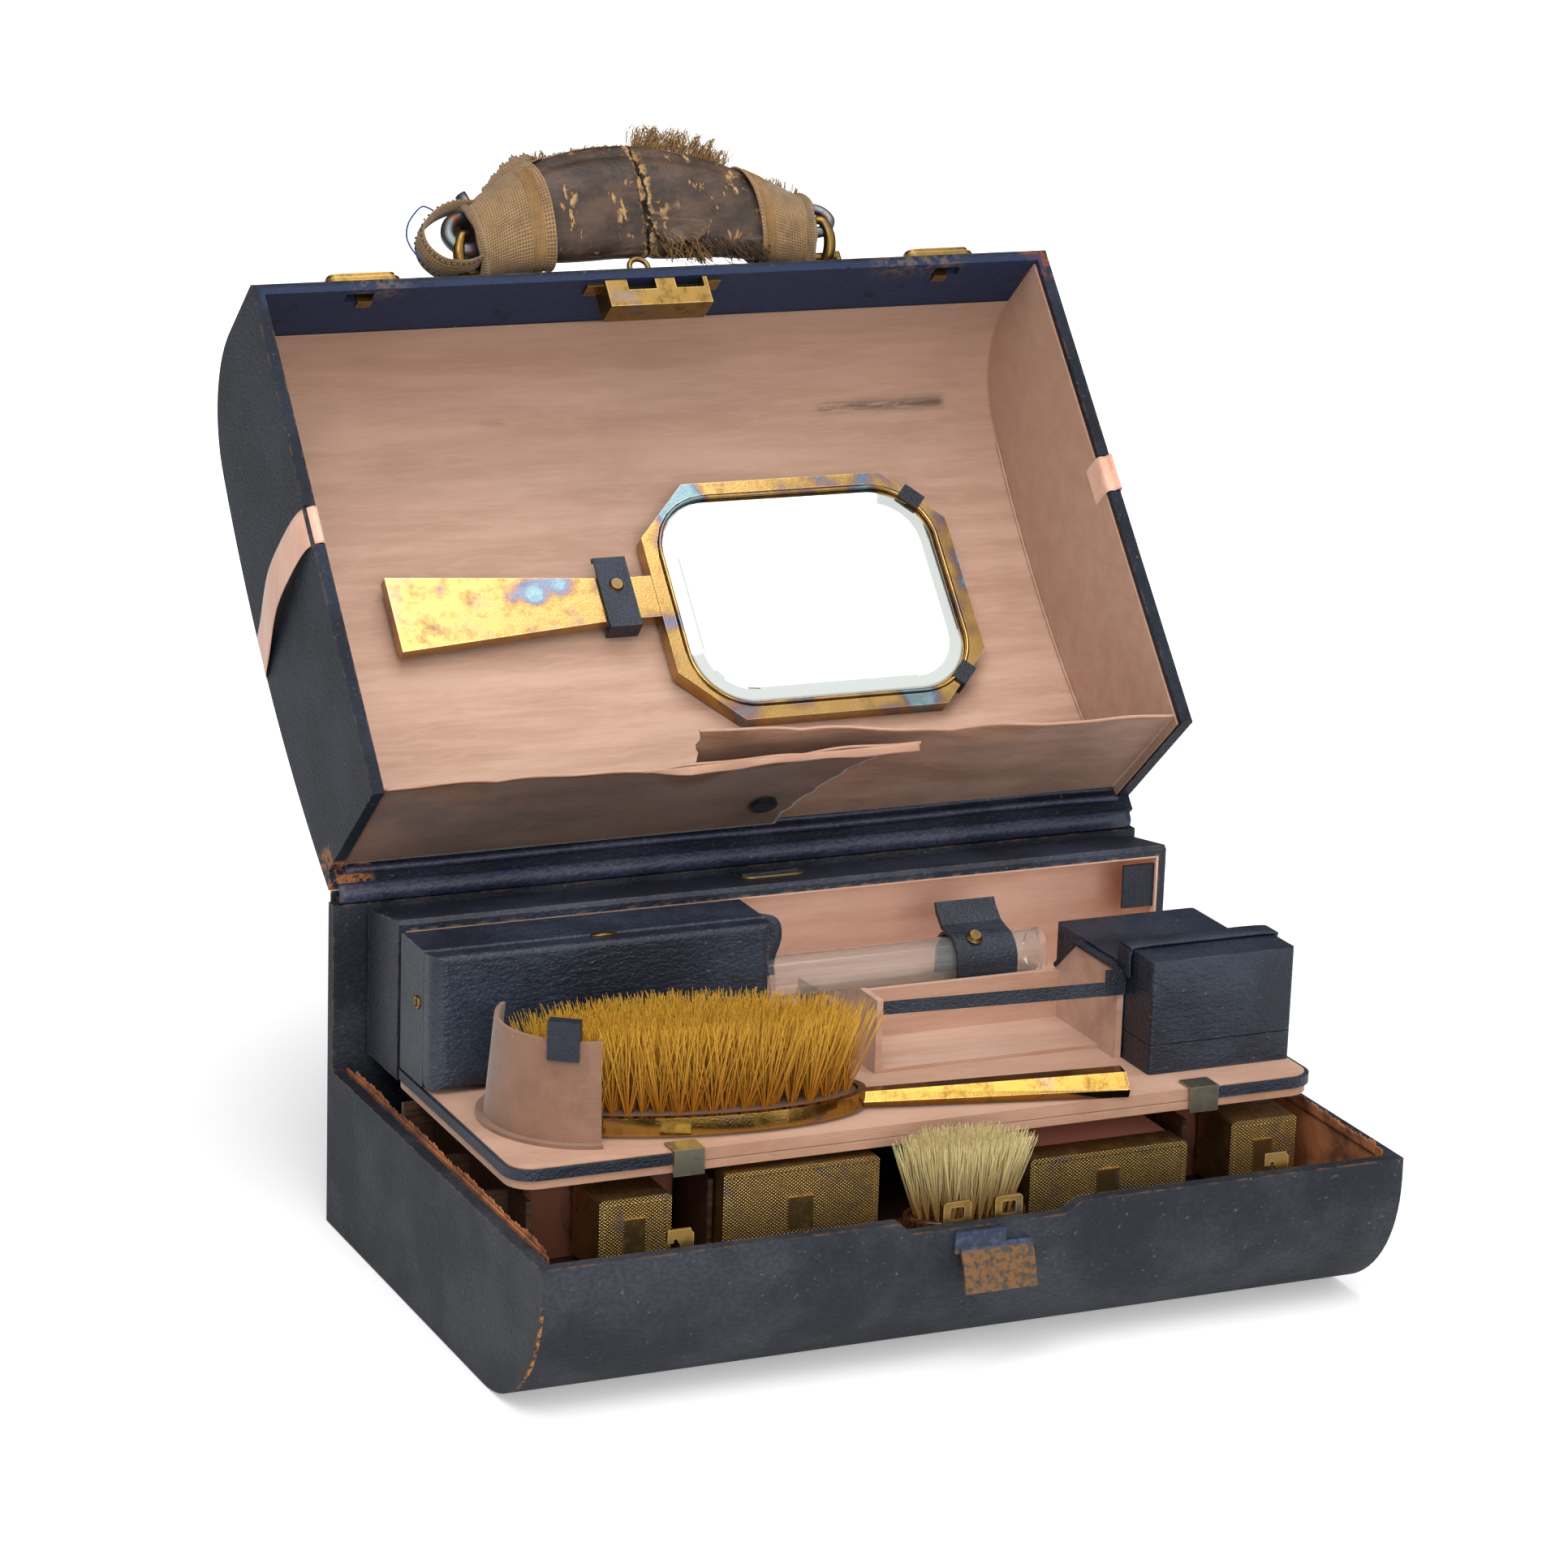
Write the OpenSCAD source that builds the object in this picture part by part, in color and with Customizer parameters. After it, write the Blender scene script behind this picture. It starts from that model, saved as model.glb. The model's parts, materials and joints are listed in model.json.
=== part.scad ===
// Antique fitted dressing box, drawn open. Millimetres, +Z up.
// The origin is the middle of the underside. The front faces -Y and the hinge runs along +X.

/* [Case] */
// Overall width of the case
case_w = 350; // [346:1:356]
// Overall depth of the case, front to back
case_d = 230; // [228:1:234]
// Height of the front and side walls of the base
wall_h = 64; // [62:0.5:65]
// Height of the hinge line above the underside
hinge_h = 136; // [135:0.5:138]
// Radius of the long front edge of the base
base_round = 55; // [45:1:58]
// Thickness of the base's floor, front and side walls
base_wall = 5; // [4:0.25:5.5]
// Thickness of the full-height back wall
back_wall = 6; // [5:0.25:6.5]
// Thickness of the card lining on the side walls
lining_t = 0.8; // [0.6:0.1:1]
// Depth of the dip in the middle of the front wall's top edge
dip_h = 4.5; // [3:0.5:5]
// Half the width of that dip
dip_half = 31; // [28:1:34]

/* [Lid] */
// Angle between the closed lid and the open lid
lid_open = 131.5; // [125:0.5:133]
// Thickness of the dome and front wall of the lid
lid_wall = 4.6; // [4:0.1:4.8]
// Thickness of the lid's side panels
lid_side = 5; // [4.5:0.25:5.5]
// Radius of the dome
crown_r = 500; // [480:5:540]
// Place of the top of the dome, from the middle of the depth
crown_y = -5; // [-8:1:0]
// Radius of the shoulder between dome and front wall
shoulder_r = 45; // [40:1:48]
// Height at which the silk lining starts on the front wall
silk_low = 97; // [94:1:99]
// Thickness of the silk lining
silk_t = 0.8; // [0.6:0.1:1]
// Thickness of the leather strip outside the hinge
strip_t = 0.8; // [0.6:0.1:1.2]
// Height of the leather strip outside the hinge
strip_h = 18; // [14:1:24]
// Width of the leather margin beside the hinge
margin_w = 11; // [9:0.5:13]
// Width of the ribbon round the dome
ribbon_w = 16; // [12:1:18]
// Place of the ribbon's middle along the depth
ribbon_y = -7; // [-12:1:0]

/* [Mirror] */
// Length of the mirror's head
mirror_l = 139; // [135:1:142]
// Width of the mirror's head
mirror_w = 111; // [108:1:114]
// Thickness of the mirror
mirror_t = 7; // [6:0.25:7.5]
// Corner chamfer of the mirror's head
mirror_cut = 24; // [20:1:27]
// Middle of the mirror's head across the lid
mirror_x = 61.5; // [58:0.5:64]
// Middle of the mirror's head along the lid's depth
mirror_y = 3; // [1:0.5:5]
// Length of the mirror's handle
mirror_handle_l = 114; // [108:1:116]
// Width of the handle at its free end
mirror_handle_w = 34; // [30:1:36]
// Width of the handle at its neck
mirror_neck_w = 19; // [16:1:21]

/* [Carrying handle] */
// Distance between the two staples
handle_span = 160; // [154:1:166]
// Height of the pivot line in front of the lid's front wall
pivot_out = 10; // [9:0.5:12]
// Height of the pivot line above the underside with the lid closed
pivot_z = 79; // [77:0.5:81]
// Rise of the grip's middle above its ends
grip_rise = 27; // [24:1:30]
// Half thickness of the grip at the middle
grip_r = 19; // [17:0.5:20]
// Half thickness of the grip at its ends
grip_end_r = 12; // [11:0.5:13]
// Reach of the slack loop past the left staple
slack = 18; // [14:1:20]
// Radius of the brass rod in the staples
staple_r = 1.6; // [1.4:0.1:1.8]
// Radius of the pin that the handle swings on
pin_r = 2; // [1.8:0.1:2.2]

/* [Latches] */
// Distance of each catch from the middle
catch_x = 129.5; // [127:0.5:131]
// Length of a domed catch
catch_l = 32; // [29:1:34]
// Travel of a catch
catch_travel = 5; // [3:0.5:6]
// Left end of the lock box
lock_x0 = -26; // [-28:0.5:-24]
// Right end of the lock box
lock_x1 = 18.5; // [18:0.5:22]
// Distance of each staple of the lock from the middle
lock_staple_x = 10.5; // [9.5:0.25:12]
// Depth of the lock box
lock_d = 12.4; // [11:0.2:13]
// Height of the lock box
lock_h = 13; // [12:0.5:14]
// Width of each staple of the lock
staple_w = 11.2; // [10:0.2:12]
// Half the distance between the side hooks
hook_x = 121.2; // [119:0.2:123]

/* [Lift-out tray] */
// Height of the top of the tray's board
tray_z = 80; // [79:0.5:82]
// Thickness of the upper board
board_t = 4.6; // [4:0.2:4.8]
// Thickness of the lower board
flap_t = 3; // [2.5:0.25:3.2]
// Gap between the two boards
board_gap = 0.4; // [0.3:0.1:0.6]
// Place of the tray's left edge
tray_left = -165; // [-167:0.5:-163]
// Place of the tray's right edge
tray_right = 168.5; // [166:0.5:168.5]
// Place of the tray's front edge
tray_front = -60; // [-61:0.5:-57]
// Place of the upright box's left end
upright_left = -162.5; // [-164:0.5:-161]
// Depth of the upright box at the back of the tray
upright_d = 34; // [32:0.5:35]
// Top of the upright box at its back
upright_top = 130.8; // [129:0.1:131]
// Rise of the upright box's top towards its front
upright_rise = 4.7; // [3:0.1:5]
// Thickness of the upright's panels
panel_t = 3; // [2.5:0.25:3.5]
// Place of the compartment's left wall
comp_x0 = 5; // [3:0.5:7]
// Place of the outside of the compartment's right wall
comp_x1 = 104; // [102:0.5:105]
// Front of the compartment
comp_y0 = -18; // [-18.5:0.5:-16]
// Front of the compartment's rear wall
comp_y1 = 32; // [30:0.5:34]
// Thickness of the compartment's walls
comp_t = 2.6; // [2.2:0.1:3]
// Top of the compartment's rear wall
comp_rear_z = 101; // [99:0.5:103]
// Top of the compartment's side walls
comp_side_z = 117; // [115:0.5:118]
// Outer radius of the glass tube
tube_r = 9; // [8:0.25:9.5]
// Wall of the glass tube
tube_wall = 1.2; // [1:0.1:1.5]
// Length of the glass tube
tube_l = 121; // [112:1:123]

/* [Boxes on the tray] */
// Length of the long box
long_l = 139; // [132:1:140]
// Thickness of the long box, front to back
long_t = 35; // [32:0.5:36]
// Height of the long box as it stands
long_h = 54; // [51:0.5:55]
// Share taken by its front half
long_lid_t = 10; // [8:0.5:12]
// Width of the jewel box
jewel_w = 62; // [58:0.5:63]
// Depth of the jewel box
jewel_d = 27; // [25:0.5:28]
// Height of the jewel box
jewel_h = 45.5; // [43:0.5:47]
// Height of its shallow base
jewel_base_h = 11.5; // [10:0.5:14]
// Height of the box behind the jewel box
rear_h = 38; // [35:0.5:39]

/* [Hairbrush] */
// Half length of the brush's head
head_a = 67; // [64:0.5:68]
// Half width of the brush's head
head_b = 25; // [23:0.5:25.5]
// Thickness of the gilt head
head_t = 8; // [7:0.25:9]
// Length of the gilt handle past the head
brush_handle_l = 102; // [95:1:103]
// Turn of the brush on the tray
brush_turn = -9.4; // [-10:0.1:-8.5]
// Length of the bristles
bristle_l = 35.6; // [32:0.2:37]
// Spread of the bristle tips past the head
tip_spread = 1; // [0.5:0.25:1.5]
// Number of bristle tufts on the hairbrush
tufts = 300; // [260:10:320]
// Inner radius of the cloth guard at its foot
guard_r = 35; // [34:0.25:36]
// Height of the cloth guard
guard_h = 39; // [35:0.5:40]
// Thickness of the cloth guard
guard_t = 1.6; // [1.3:0.1:2]

/* [Fittings in the base] */
// Place of the front of the lids that close the bottles and jars
lids_front = -62; // [-63:0.5:-60]
// Height of the bed that the fittings lie on
bed_z = 32; // [30:0.5:33]
// Thickness of the bed and its partitions
bed_t = 3; // [2.5:0.25:3.5]
// Width of a bottle's square cap
cap_w = 28.5; // [26:0.5:30]
// Height of a bottle's cap as it lies
cap_h = 30; // [28:0.5:31]
// Depth of a bottle's cap
cap_d = 26; // [23:0.5:28]
// Width of the left bottle
left_bottle_w = 60; // [56:0.5:61]
// Width of the right bottle
right_bottle_w = 48; // [45:0.5:49]
// Thickness of a bottle as it lies
bottle_t = 36; // [33:0.5:37]
// Length of a bottle's body
bottle_l = 78; // [72:1:82]
// Wall of the glass
glass_t = 2.4; // [2:0.1:3]
// Width of the powder box
powder_w = 63; // [60:0.5:64]
// Height of the powder box as it lies
powder_h = 37.5; // [35:0.5:38.5]
// Depth of the powder box behind its lid
powder_d = 52; // [48:1:56]
// Thickness of the powder box's metal
metal_t = 1.6; // [1.2:0.1:2]
// Width of the glass jar
jar_w = 67; // [64:0.5:68]
// Depth of the jar behind its lid
jar_d = 62; // [56:1:66]
// Height of the glass jar as it lies
jar_h = 28; // [26:0.5:30]
// Half length of the small brush's back
small_a = 24.5; // [23:0.5:25.5]
// Half width of the small brush's back
small_b = 14.5; // [13:0.5:15.5]
// Height of the top of the block that the small brush stands on
small_z = 40; // [38:0.5:42]
// Length of the small brush's bristles
small_l = 32; // [29:0.5:33]
// Number of bristle tufts on the small brush
small_tufts = 110; // [90:5:130]

/* [Hidden] */

// Clearances
rim_gap = 0.3;
seat_gap = 0.3;
skin_gap = 0.1;
run_gap = 0.5;
rim_cut = 0.8;
ribbon_t = 0.7;

// Places that follow from the sizes of the case
front_y = -case_d / 2;
back_y = case_d / 2;
inner_half = case_w / 2 - base_wall;
rim_z = wall_h + rim_gap;
back_in = back_y - back_wall;
short_y = back_in - rim_gap;
lid_low = hinge_h - lid_wall + rim_gap;
back_top = lid_low - rim_gap;
crown_z = hinge_h - sqrt(pow(crown_r, 2) - pow(back_y - crown_y, 2));
shoulder_y = front_y + shoulder_r;
shoulder_z = crown_z + sqrt(pow(crown_r - shoulder_r, 2) - pow(shoulder_y - crown_y, 2));
lid_inner_half = case_w / 2 - lid_side;
front_in = front_y + lid_wall;

// Places of the mirror's neck strap and of the board's clips
neck_drop = 4.5;
strap_in = 17;
clip_x0 = tray_left + 69;
clip_x1 = tray_right - 50.5;
clip_w = 13;
clip_t = 1;

// Places that follow from the sizes of the tray
flap_top = tray_z - board_t - board_gap;
flap_low = flap_top - flap_t;
upright_back = back_in - 5;
upright_front = upright_back - upright_d;
board_back = upright_front - seat_gap;
long_x0 = upright_left - 2;
long_y1 = upright_front - 9;
long_y0 = long_y1 - long_t;
long_z0 = tray_z + seat_gap;
jewel_x0 = comp_x1 + 0.6;
jewel_y1 = -13;
jewel_y0 = jewel_y1 - jewel_d;
jewel_z0 = tray_z + seat_gap;
jewel_top = jewel_z0 + jewel_h;
rear_y0 = jewel_y1 + 0.6;
rear_y1 = 41;
ledge_z = tray_z + 16;
tube_y = comp_y1 + comp_t + tube_r + 3;
tube_z = ledge_z + seat_gap + tube_r;
tube_x0 = long_x0 + long_l + 4;
strap_x = 72;
strap_w = 26;

// Places of the hairbrush and its guard
head_x = -80;
head_y = -24.5;
head_z = tray_z + seat_gap;
guard_x = -118;
guard_y = -9;
guard_lean = 3.6;
guard_flange = 3;

// Places of the fittings in the base
left_cap_x = -inner_half + 52.6;
right_cap_x = inner_half - 25.6;
powder_x = left_cap_x + 66.4;
jar_x = right_cap_x - 66.9;
small_x = 6;
small_y = -83;
small_back_t = 12;
bottle_z = bed_z + seat_gap;
cap_z = bottle_z + bottle_t / 2 - cap_h / 2;
bottle_front = lids_front + cap_d + seat_gap;
powder_z = bed_z + seat_gap;
jar_z = bed_z + seat_gap;
powder_lid_d = 9;
jar_lid_d = 13;
stub_d = 6;
hook_side = 3.7;
neck_r = cap_w / 2 - 3.8;

// Returns the points of a rectangle with round corners
function round_rect(x0, y0, x1, y1, r, n = 6) = [
    for (c = [[x1 - r, y1 - r, 0], [x0 + r, y1 - r, 90], [x0 + r, y0 + r, 180], [x1 - r, y0 + r, 270]])
        for (i = [0 : n])
            [c[0] + r * cos(c[2] + 90 * i / n), c[1] + r * sin(c[2] + 90 * i / n)]
];

// Returns the points of an ellipse
function oval(a, b, n = 48) = [for (i = [0 : n - 1]) [a * cos(360 * i / n), b * sin(360 * i / n)]];

// Returns the points of a rectangle with cut corners
function cut_rect(l, w, c) = [
    [-l / 2 + c, -w / 2], [l / 2 - c, -w / 2], [l / 2, -w / 2 + c], [l / 2, w / 2 - c],
    [l / 2 - c, w / 2], [-l / 2 + c, w / 2], [-l / 2, w / 2 - c], [-l / 2, -w / 2 + c]
];

// Draws a profile of the Y and Z axes along X, about the middle of the case
module along_x(w) {
    rotate([90, 0, 90])
        linear_extrude(height = w, center = true)
            children();
}

// Draws a profile of the Y and Z axes from one X to another
module from_to_x(x0, x1) {
    translate([(x0 + x1) / 2, 0, 0])
        along_x(x1 - x0)
            children();
}

// A box with its four edges along X rounded
module bar_x(x0, x1, y0, y1, z0, z1, r) {
    from_to_x(x0, x1)
        polygon(round_rect(y0, z0, y1, z1, r));
}

// A box with its four upright edges rounded
module post_z(x0, x1, y0, y1, z0, z1, r) {
    translate([0, 0, z0])
        linear_extrude(height = z1 - z0)
            polygon(round_rect(x0, y0, x1, y1, r));
}

// A plain box between two corners
module slab(p, q) {
    translate(p)
        cube(q - p);
}

// Turns what is drawn for the closed lid into the open place
module on_lid() {
    translate([0, back_y, hinge_h])
        rotate([-lid_open, 0, 0])
            translate([0, -back_y, -hinge_h])
                children();
}

// Side profile of the base, moved inwards by o
module base_profile(o) {
    translate([front_y + base_round, base_round])
        circle(r = base_round - o, $fn = 96);
    translate([front_y + base_round, o])
        square([case_d - base_round - o, wall_h + 2 - o]);
    translate([front_y + o, base_round])
        square([case_d - 2 * o, wall_h + 2 - base_round]);
}

// Side profile of the dome, moved inwards by o and open downwards
module dome_profile(o) {
    meet_y = crown_y + (shoulder_y - crown_y) * (crown_r - o) / (crown_r - shoulder_r);
    translate([shoulder_y, shoulder_z])
        circle(r = shoulder_r - o, $fn = 120);
    translate([front_y + o, 0])
        square([shoulder_r - o, shoulder_z]);
    intersection() {
        translate([crown_y, crown_z])
            circle(r = crown_r - o, $fn = 720);
        translate([meet_y, 0])
            square([back_y - meet_y, hinge_h * 2]);
    }
}

module base_shell() {
    color("#3a3f4b")
    union() {
        difference() {
            along_x(case_w)
                intersection() {
                    base_profile(0);
                    translate([front_y, 0])
                        square([case_d, wall_h]);
                }
            along_x(case_w - 2 * base_wall)
                intersection() {
                    base_profile(base_wall);
                    translate([front_y, 0])
                        square([case_d - back_wall, wall_h + 10]);
                }
            rotate([90, 0, 0])
                translate([0, 0, -front_y - base_wall - 1])
                    linear_extrude(height = base_wall + 2)
                        polygon([
                            [-dip_half - 6, wall_h + 1], [-dip_half, wall_h - dip_h],
                            [dip_half, wall_h - dip_h], [dip_half + 9, wall_h + 1]
                        ]);
        }
        slab([-case_w / 2, back_in, wall_h / 2], [case_w / 2, back_y, back_top]);
    }
}

module base_lining() {
    color("#8a5a3c")
    for (s = [-1, 1])
        from_to_x(s * (inner_half - lining_t / 2) - lining_t / 2, s * (inner_half - lining_t / 2) + lining_t / 2)
            intersection() {
                base_profile(base_wall + 0.5);
                translate([front_y + base_wall + 2, base_wall + 1])
                    square([case_d - base_wall - back_wall - 4, wall_h - base_wall + 0.5]);
            }
}

// Wooden bed and partitions that keep the fittings apart
module partitions() {
    side = inner_half - lining_t - seat_gap;
    front = lids_front + 8;
    walls = [
        -inner_half + 13, left_cap_x + left_bottle_w / 2 + 2, powder_x + powder_w / 2 + 2,
        jar_x - jar_w / 2 - 5, jar_x + jar_w / 2 + 2
    ];
    rear = bottle_front + bottle_l + 2;
    wall_t = bed_t - 1;
    color("#5b3420")
    union() {
        intersection() {
            along_x(2 * side)
                base_profile(base_wall + skin_gap);
            union() {
                slab([-side, front, bed_z - bed_t], [side, back_in - 0.5, bed_z]);
                slab([-side, front, base_wall], [side, front + bed_t, bed_z]);
                slab([-side, back_in - 0.5 - bed_t, base_wall], [side, back_in - 0.5, bed_z]);
                for (x = walls)
                    slab([x, front, bed_z - bed_t], [x + wall_t, rear, wall_h + 1.5]);
                slab([-side, rear, bed_z - bed_t], [side, rear + wall_t, wall_h + 1.5]);
                for (y = [rear - 80, rear - 40])
                    slab([-side, y, bed_z - bed_t], [walls[0] + 1, y + wall_t, wall_h]);
                slab([small_x - small_a, small_y - small_b, base_wall], [small_x + small_a, front + 1, small_z]);
            }
        }
        slab([-side, rear, wall_h], [side, rear + wall_t, flap_low - seat_gap]);
    }
}

// Brass hook on each side of the front wall, its arm turned to the left
module side_hooks() {
    color("#b08d4a")
    for (x = [-hook_x + hook_side, hook_x + hook_side])
        translate([x, front_y + base_wall + 1.2, 0])
            rotate([90, 0, 0])
                linear_extrude(height = 1.2)
                    union() {
                        translate([-2.6, base_round + 0.5])
                            square([5.2, wall_h - base_round + 4.5]);
                        translate([-7.5, wall_h + 3.2])
                            square([9, 3.6]);
                        translate([-0.6, wall_h + 3.6])
                            circle(r = 3.2, $fn = 32);
                        translate([-7.5, wall_h + 1.8])
                            square([2.4, 3]);
                    }
}

// Two square brass staples that enter the lock
module lock_staples() {
    color("#b08d4a")
    for (x = [-lock_staple_x, lock_staple_x])
        translate([x, front_y + base_wall + 1.4, 0])
            rotate([90, 0, 0])
                linear_extrude(height = 1.4)
                    difference() {
                        polygon(round_rect(-staple_w / 2, base_round + 0.5, staple_w / 2, wall_h + 3.6, 1.6));
                        polygon(round_rect(-staple_w / 4, wall_h - 3.6, staple_w / 4, wall_h + 1.4, 0.8));
                    }
}

// Stitched leather tab on the front with its worn tongue bent outwards
module front_tab() {
    top = wall_h - 6;
    color("#2b3348")
    union() {
        slab([-14, front_y - 1.6, top - 8], [6.5, front_y, top]);
        translate([-12, front_y, top - 8])
            rotate([90, 0, 90])
                linear_extrude(height = 29)
                    polygon([
                        [0, 1], [-1.4, 0.6], [-3.2, -3], [-5, -8], [-7, -14],
                        [-8.2, -13.6], [-6.4, -7.6], [-4.6, -2.2], [-2.6, 1.6], [-1.2, 2.6], [0, 2.6]
                    ]);
    }
}

// Leather strip outside the hinge line
module hinge_leather() {
    color("#20263a")
    slab([-case_w / 2 + 1, back_y, hinge_h - 0.4 - strip_h], [case_w / 2 - 1, back_y + strip_t, hinge_h - 0.4]);
}

// Hollow glass body that lies on its back with its neck to the front
module bottle(w) {
    difference() {
        union() {
            translate([0, bottle_front + stub_d, bottle_z])
                linear_extrude(height = bottle_t)
                    polygon(round_rect(-w / 2, 0, w / 2, bottle_l - stub_d, 5));
            translate([0, bottle_front + stub_d + 1, bottle_z + bottle_t / 2])
                rotate([90, 0, 0])
                    cylinder(r1 = bottle_t / 2 - 0.5, r2 = neck_r, h = stub_d + 1, $fn = 48);
            translate([0, bottle_front + 1, bottle_z + bottle_t / 2])
                rotate([90, 0, 0])
                    cylinder(r = neck_r, h = 7, $fn = 48);
        }
        translate([0, bottle_front + stub_d + glass_t, bottle_z + glass_t])
            linear_extrude(height = bottle_t - 2 * glass_t)
                polygon(round_rect(
                    -w / 2 + glass_t, 0, w / 2 - glass_t, bottle_l - stub_d - 2 * glass_t, 3));
    }
}

module left_bottle() {
    color("#6b4a3a", 0.6)
    translate([left_cap_x, 0, 0])
        bottle(left_bottle_w);
}

module right_bottle() {
    color("#6b4a3a", 0.6)
    translate([right_cap_x, 0, 0])
        bottle(right_bottle_w);
}

// Square cap, hollow at the back, with a raised border and a bare plaque
module cap() {
    difference() {
        translate([0, lids_front + cap_d, cap_z])
            rotate([90, 0, 0])
                linear_extrude(height = cap_d)
                    polygon(round_rect(-cap_w / 2, 0, cap_w / 2, cap_h, 1.4));
        translate([0, lids_front + 0.6, cap_z])
            rotate([90, 0, 0])
                linear_extrude(height = 1)
                    difference() {
                        polygon(round_rect(-cap_w / 2 + 2, 2, cap_w / 2 - 2, cap_h - 2, 0.6));
                        translate([-4.2, cap_h * 0.28])
                            square([8.4, cap_h * 0.44]);
                    }
        translate([0, lids_front + cap_d + 1, cap_z + cap_h / 2])
            rotate([90, 0, 0])
                cylinder(r = neck_r + seat_gap, h = 9, $fn = 48);
    }
}

module left_cap() {
    color("#b99752")
    translate([left_cap_x, 0, 0])
        cap();
}

module right_cap() {
    color("#b99752")
    translate([right_cap_x, 0, 0])
        cap();
}

// Open-fronted body of a box that lies on its back
module lying_box(x, w, z, h, lid_d, depth, wall) {
    y0 = lids_front + lid_d + seat_gap;
    half = w / 2 - 1;
    difference() {
        slab([x - half, y0, z], [x + half, y0 + depth, z + h - 1]);
        slab([x - half + wall, y0 - 1, z + wall], [x + half - wall, y0 + depth - wall, z + h - 1 - wall]);
    }
}

module powder_box() {
    color("#8f7440")
    lying_box(powder_x, powder_w, powder_z, powder_h, powder_lid_d, powder_d, metal_t);
}

module jar_body() {
    color("#c98f7c", 0.7)
    lying_box(jar_x, jar_w, jar_z, jar_h, jar_lid_d, jar_d, glass_t);
}

// Shallow gilt lid with a raised border and a bare plaque
module shallow_lid(x, w, z, h, d) {
    translate([x, 0, z])
    difference() {
        translate([0, lids_front + d, 0])
            rotate([90, 0, 0])
                linear_extrude(height = d)
                    polygon(round_rect(-w / 2, 0, w / 2, h, 1.6));
        translate([0, lids_front + 0.6, 0])
            rotate([90, 0, 0])
                linear_extrude(height = 1)
                    difference() {
                        polygon(round_rect(-w / 2 + 1.8, 1.8, w / 2 - 1.8, h - 1.8, 0.8));
                        translate([-5, h / 2 - 6.5])
                            square([10, 13]);
                    }
        slab([-w / 2 + 2.4, lids_front + 2.4, 2.4], [w / 2 - 2.4, lids_front + d + 1, h - 2.4]);
    }
}

module powder_lid() {
    color("#b0904e")
    shallow_lid(powder_x, powder_w, powder_z, powder_h, powder_lid_d);
}

module jar_lid() {
    color("#a98a4c")
    shallow_lid(jar_x, jar_w, jar_z, jar_h, jar_lid_d);
}

// One tapered three-sided strand from p to q
module strand(p, q, r0, r1) {
    ring0 = [for (i = [0 : 2]) p + r0 * [cos(120 * i), sin(120 * i), 0]];
    ring1 = [for (i = [0 : 2]) q + r1 * [cos(120 * i), sin(120 * i), 0]];
    polyhedron(
        points = concat(ring0, ring1),
        faces = [[0, 1, 2], [5, 4, 3], [0, 3, 1], [1, 3, 4], [1, 4, 2], [2, 4, 5], [2, 5, 0], [0, 5, 3]]
    );
}

// A field of strands over an oval, fanned out towards the tips
module bristle_field(n, a0, b0, a1, b1, z0, z1, drop, r0, r1) {
    golden = 137.508;
    for (i = [0 : n - 1]) {
        r = sqrt((i + 0.5) / n);
        u = r * cos(golden * i);
        v = r * sin(golden * i);
        strand([a0 * u, b0 * v, z0], [a1 * u, b1 * v, z1 - drop * u * u], r0, r1);
    }
}

module small_brush_back() {
    z0 = small_z + seat_gap;
    color("#4a2f22")
    translate([small_x, small_y, z0])
        difference() {
            linear_extrude(height = small_back_t)
                polygon(oval(small_a, small_b));
            translate([0, 0, small_back_t - 2])
                linear_extrude(height = 3)
                    polygon(oval(small_a - 2, small_b - 2));
        }
}

module small_brush_bristles() {
    z0 = small_z + seat_gap + small_back_t - 2 + skin_gap;
    color("#e9dcae")
    translate([small_x, small_y, z0])
        union() {
            linear_extrude(height = 1.8)
                polygon(oval(small_a - 2.3, small_b - 2.3, 32));
            bristle_field(small_tufts, small_a - 5, small_b - 5, small_a + 5.5, small_b + 1, 1, small_l, 1.5, 1, 0.6);
        }
}

module lid_shell() {
    color("#2c3346")
    on_lid()
        difference() {
            along_x(case_w)
                intersection() {
                    dome_profile(0);
                    union() {
                        translate([front_y, rim_z])
                            square([short_y - front_y, hinge_h * 2]);
                        translate([short_y - 1, lid_low])
                            square([back_y - short_y + 1, hinge_h]);
                    }
                }
            along_x(2 * lid_inner_half)
                intersection() {
                    dome_profile(lid_wall);
                    translate([front_y, 0])
                        square([short_y - front_y, hinge_h * 2]);
                }
            for (s = [-1, 1])
                translate([s * catch_x - catch_travel / 2 - 3.5, front_y - 1, rim_z + 3])
                    cube([catch_travel + 7, lid_wall + 2, 6]);
            for (x = [-case_w / 2 - 1, lid_inner_half - 1])
                translate([x, ribbon_y - ribbon_w / 2 - 0.5, rim_z - 1])
                    cube([lid_side + 2, ribbon_w + 1, 1 + rim_cut]);
        }
}

module lid_lining() {
    color("#d9a98f")
    on_lid()
        difference() {
            along_x(2 * lid_inner_half)
                intersection() {
                    dome_profile(lid_wall + skin_gap);
                    translate([front_in, rim_z + 3])
                        square([short_y - front_in - 1, hinge_h * 2]);
                }
            along_x(2 * (lid_inner_half - silk_t))
                intersection() {
                    dome_profile(lid_wall + skin_gap + silk_t);
                    translate([front_y, 0])
                        square([case_d, hinge_h * 2]);
                }
            slab([-lid_inner_half + silk_t, front_y, 0], [lid_inner_half - silk_t, front_in + silk_t + 2, silk_low]);
            slab([-lid_inner_half + silk_t, short_y - margin_w, 0], [lid_inner_half - silk_t, back_y, hinge_h * 2]);
        }
}

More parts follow.
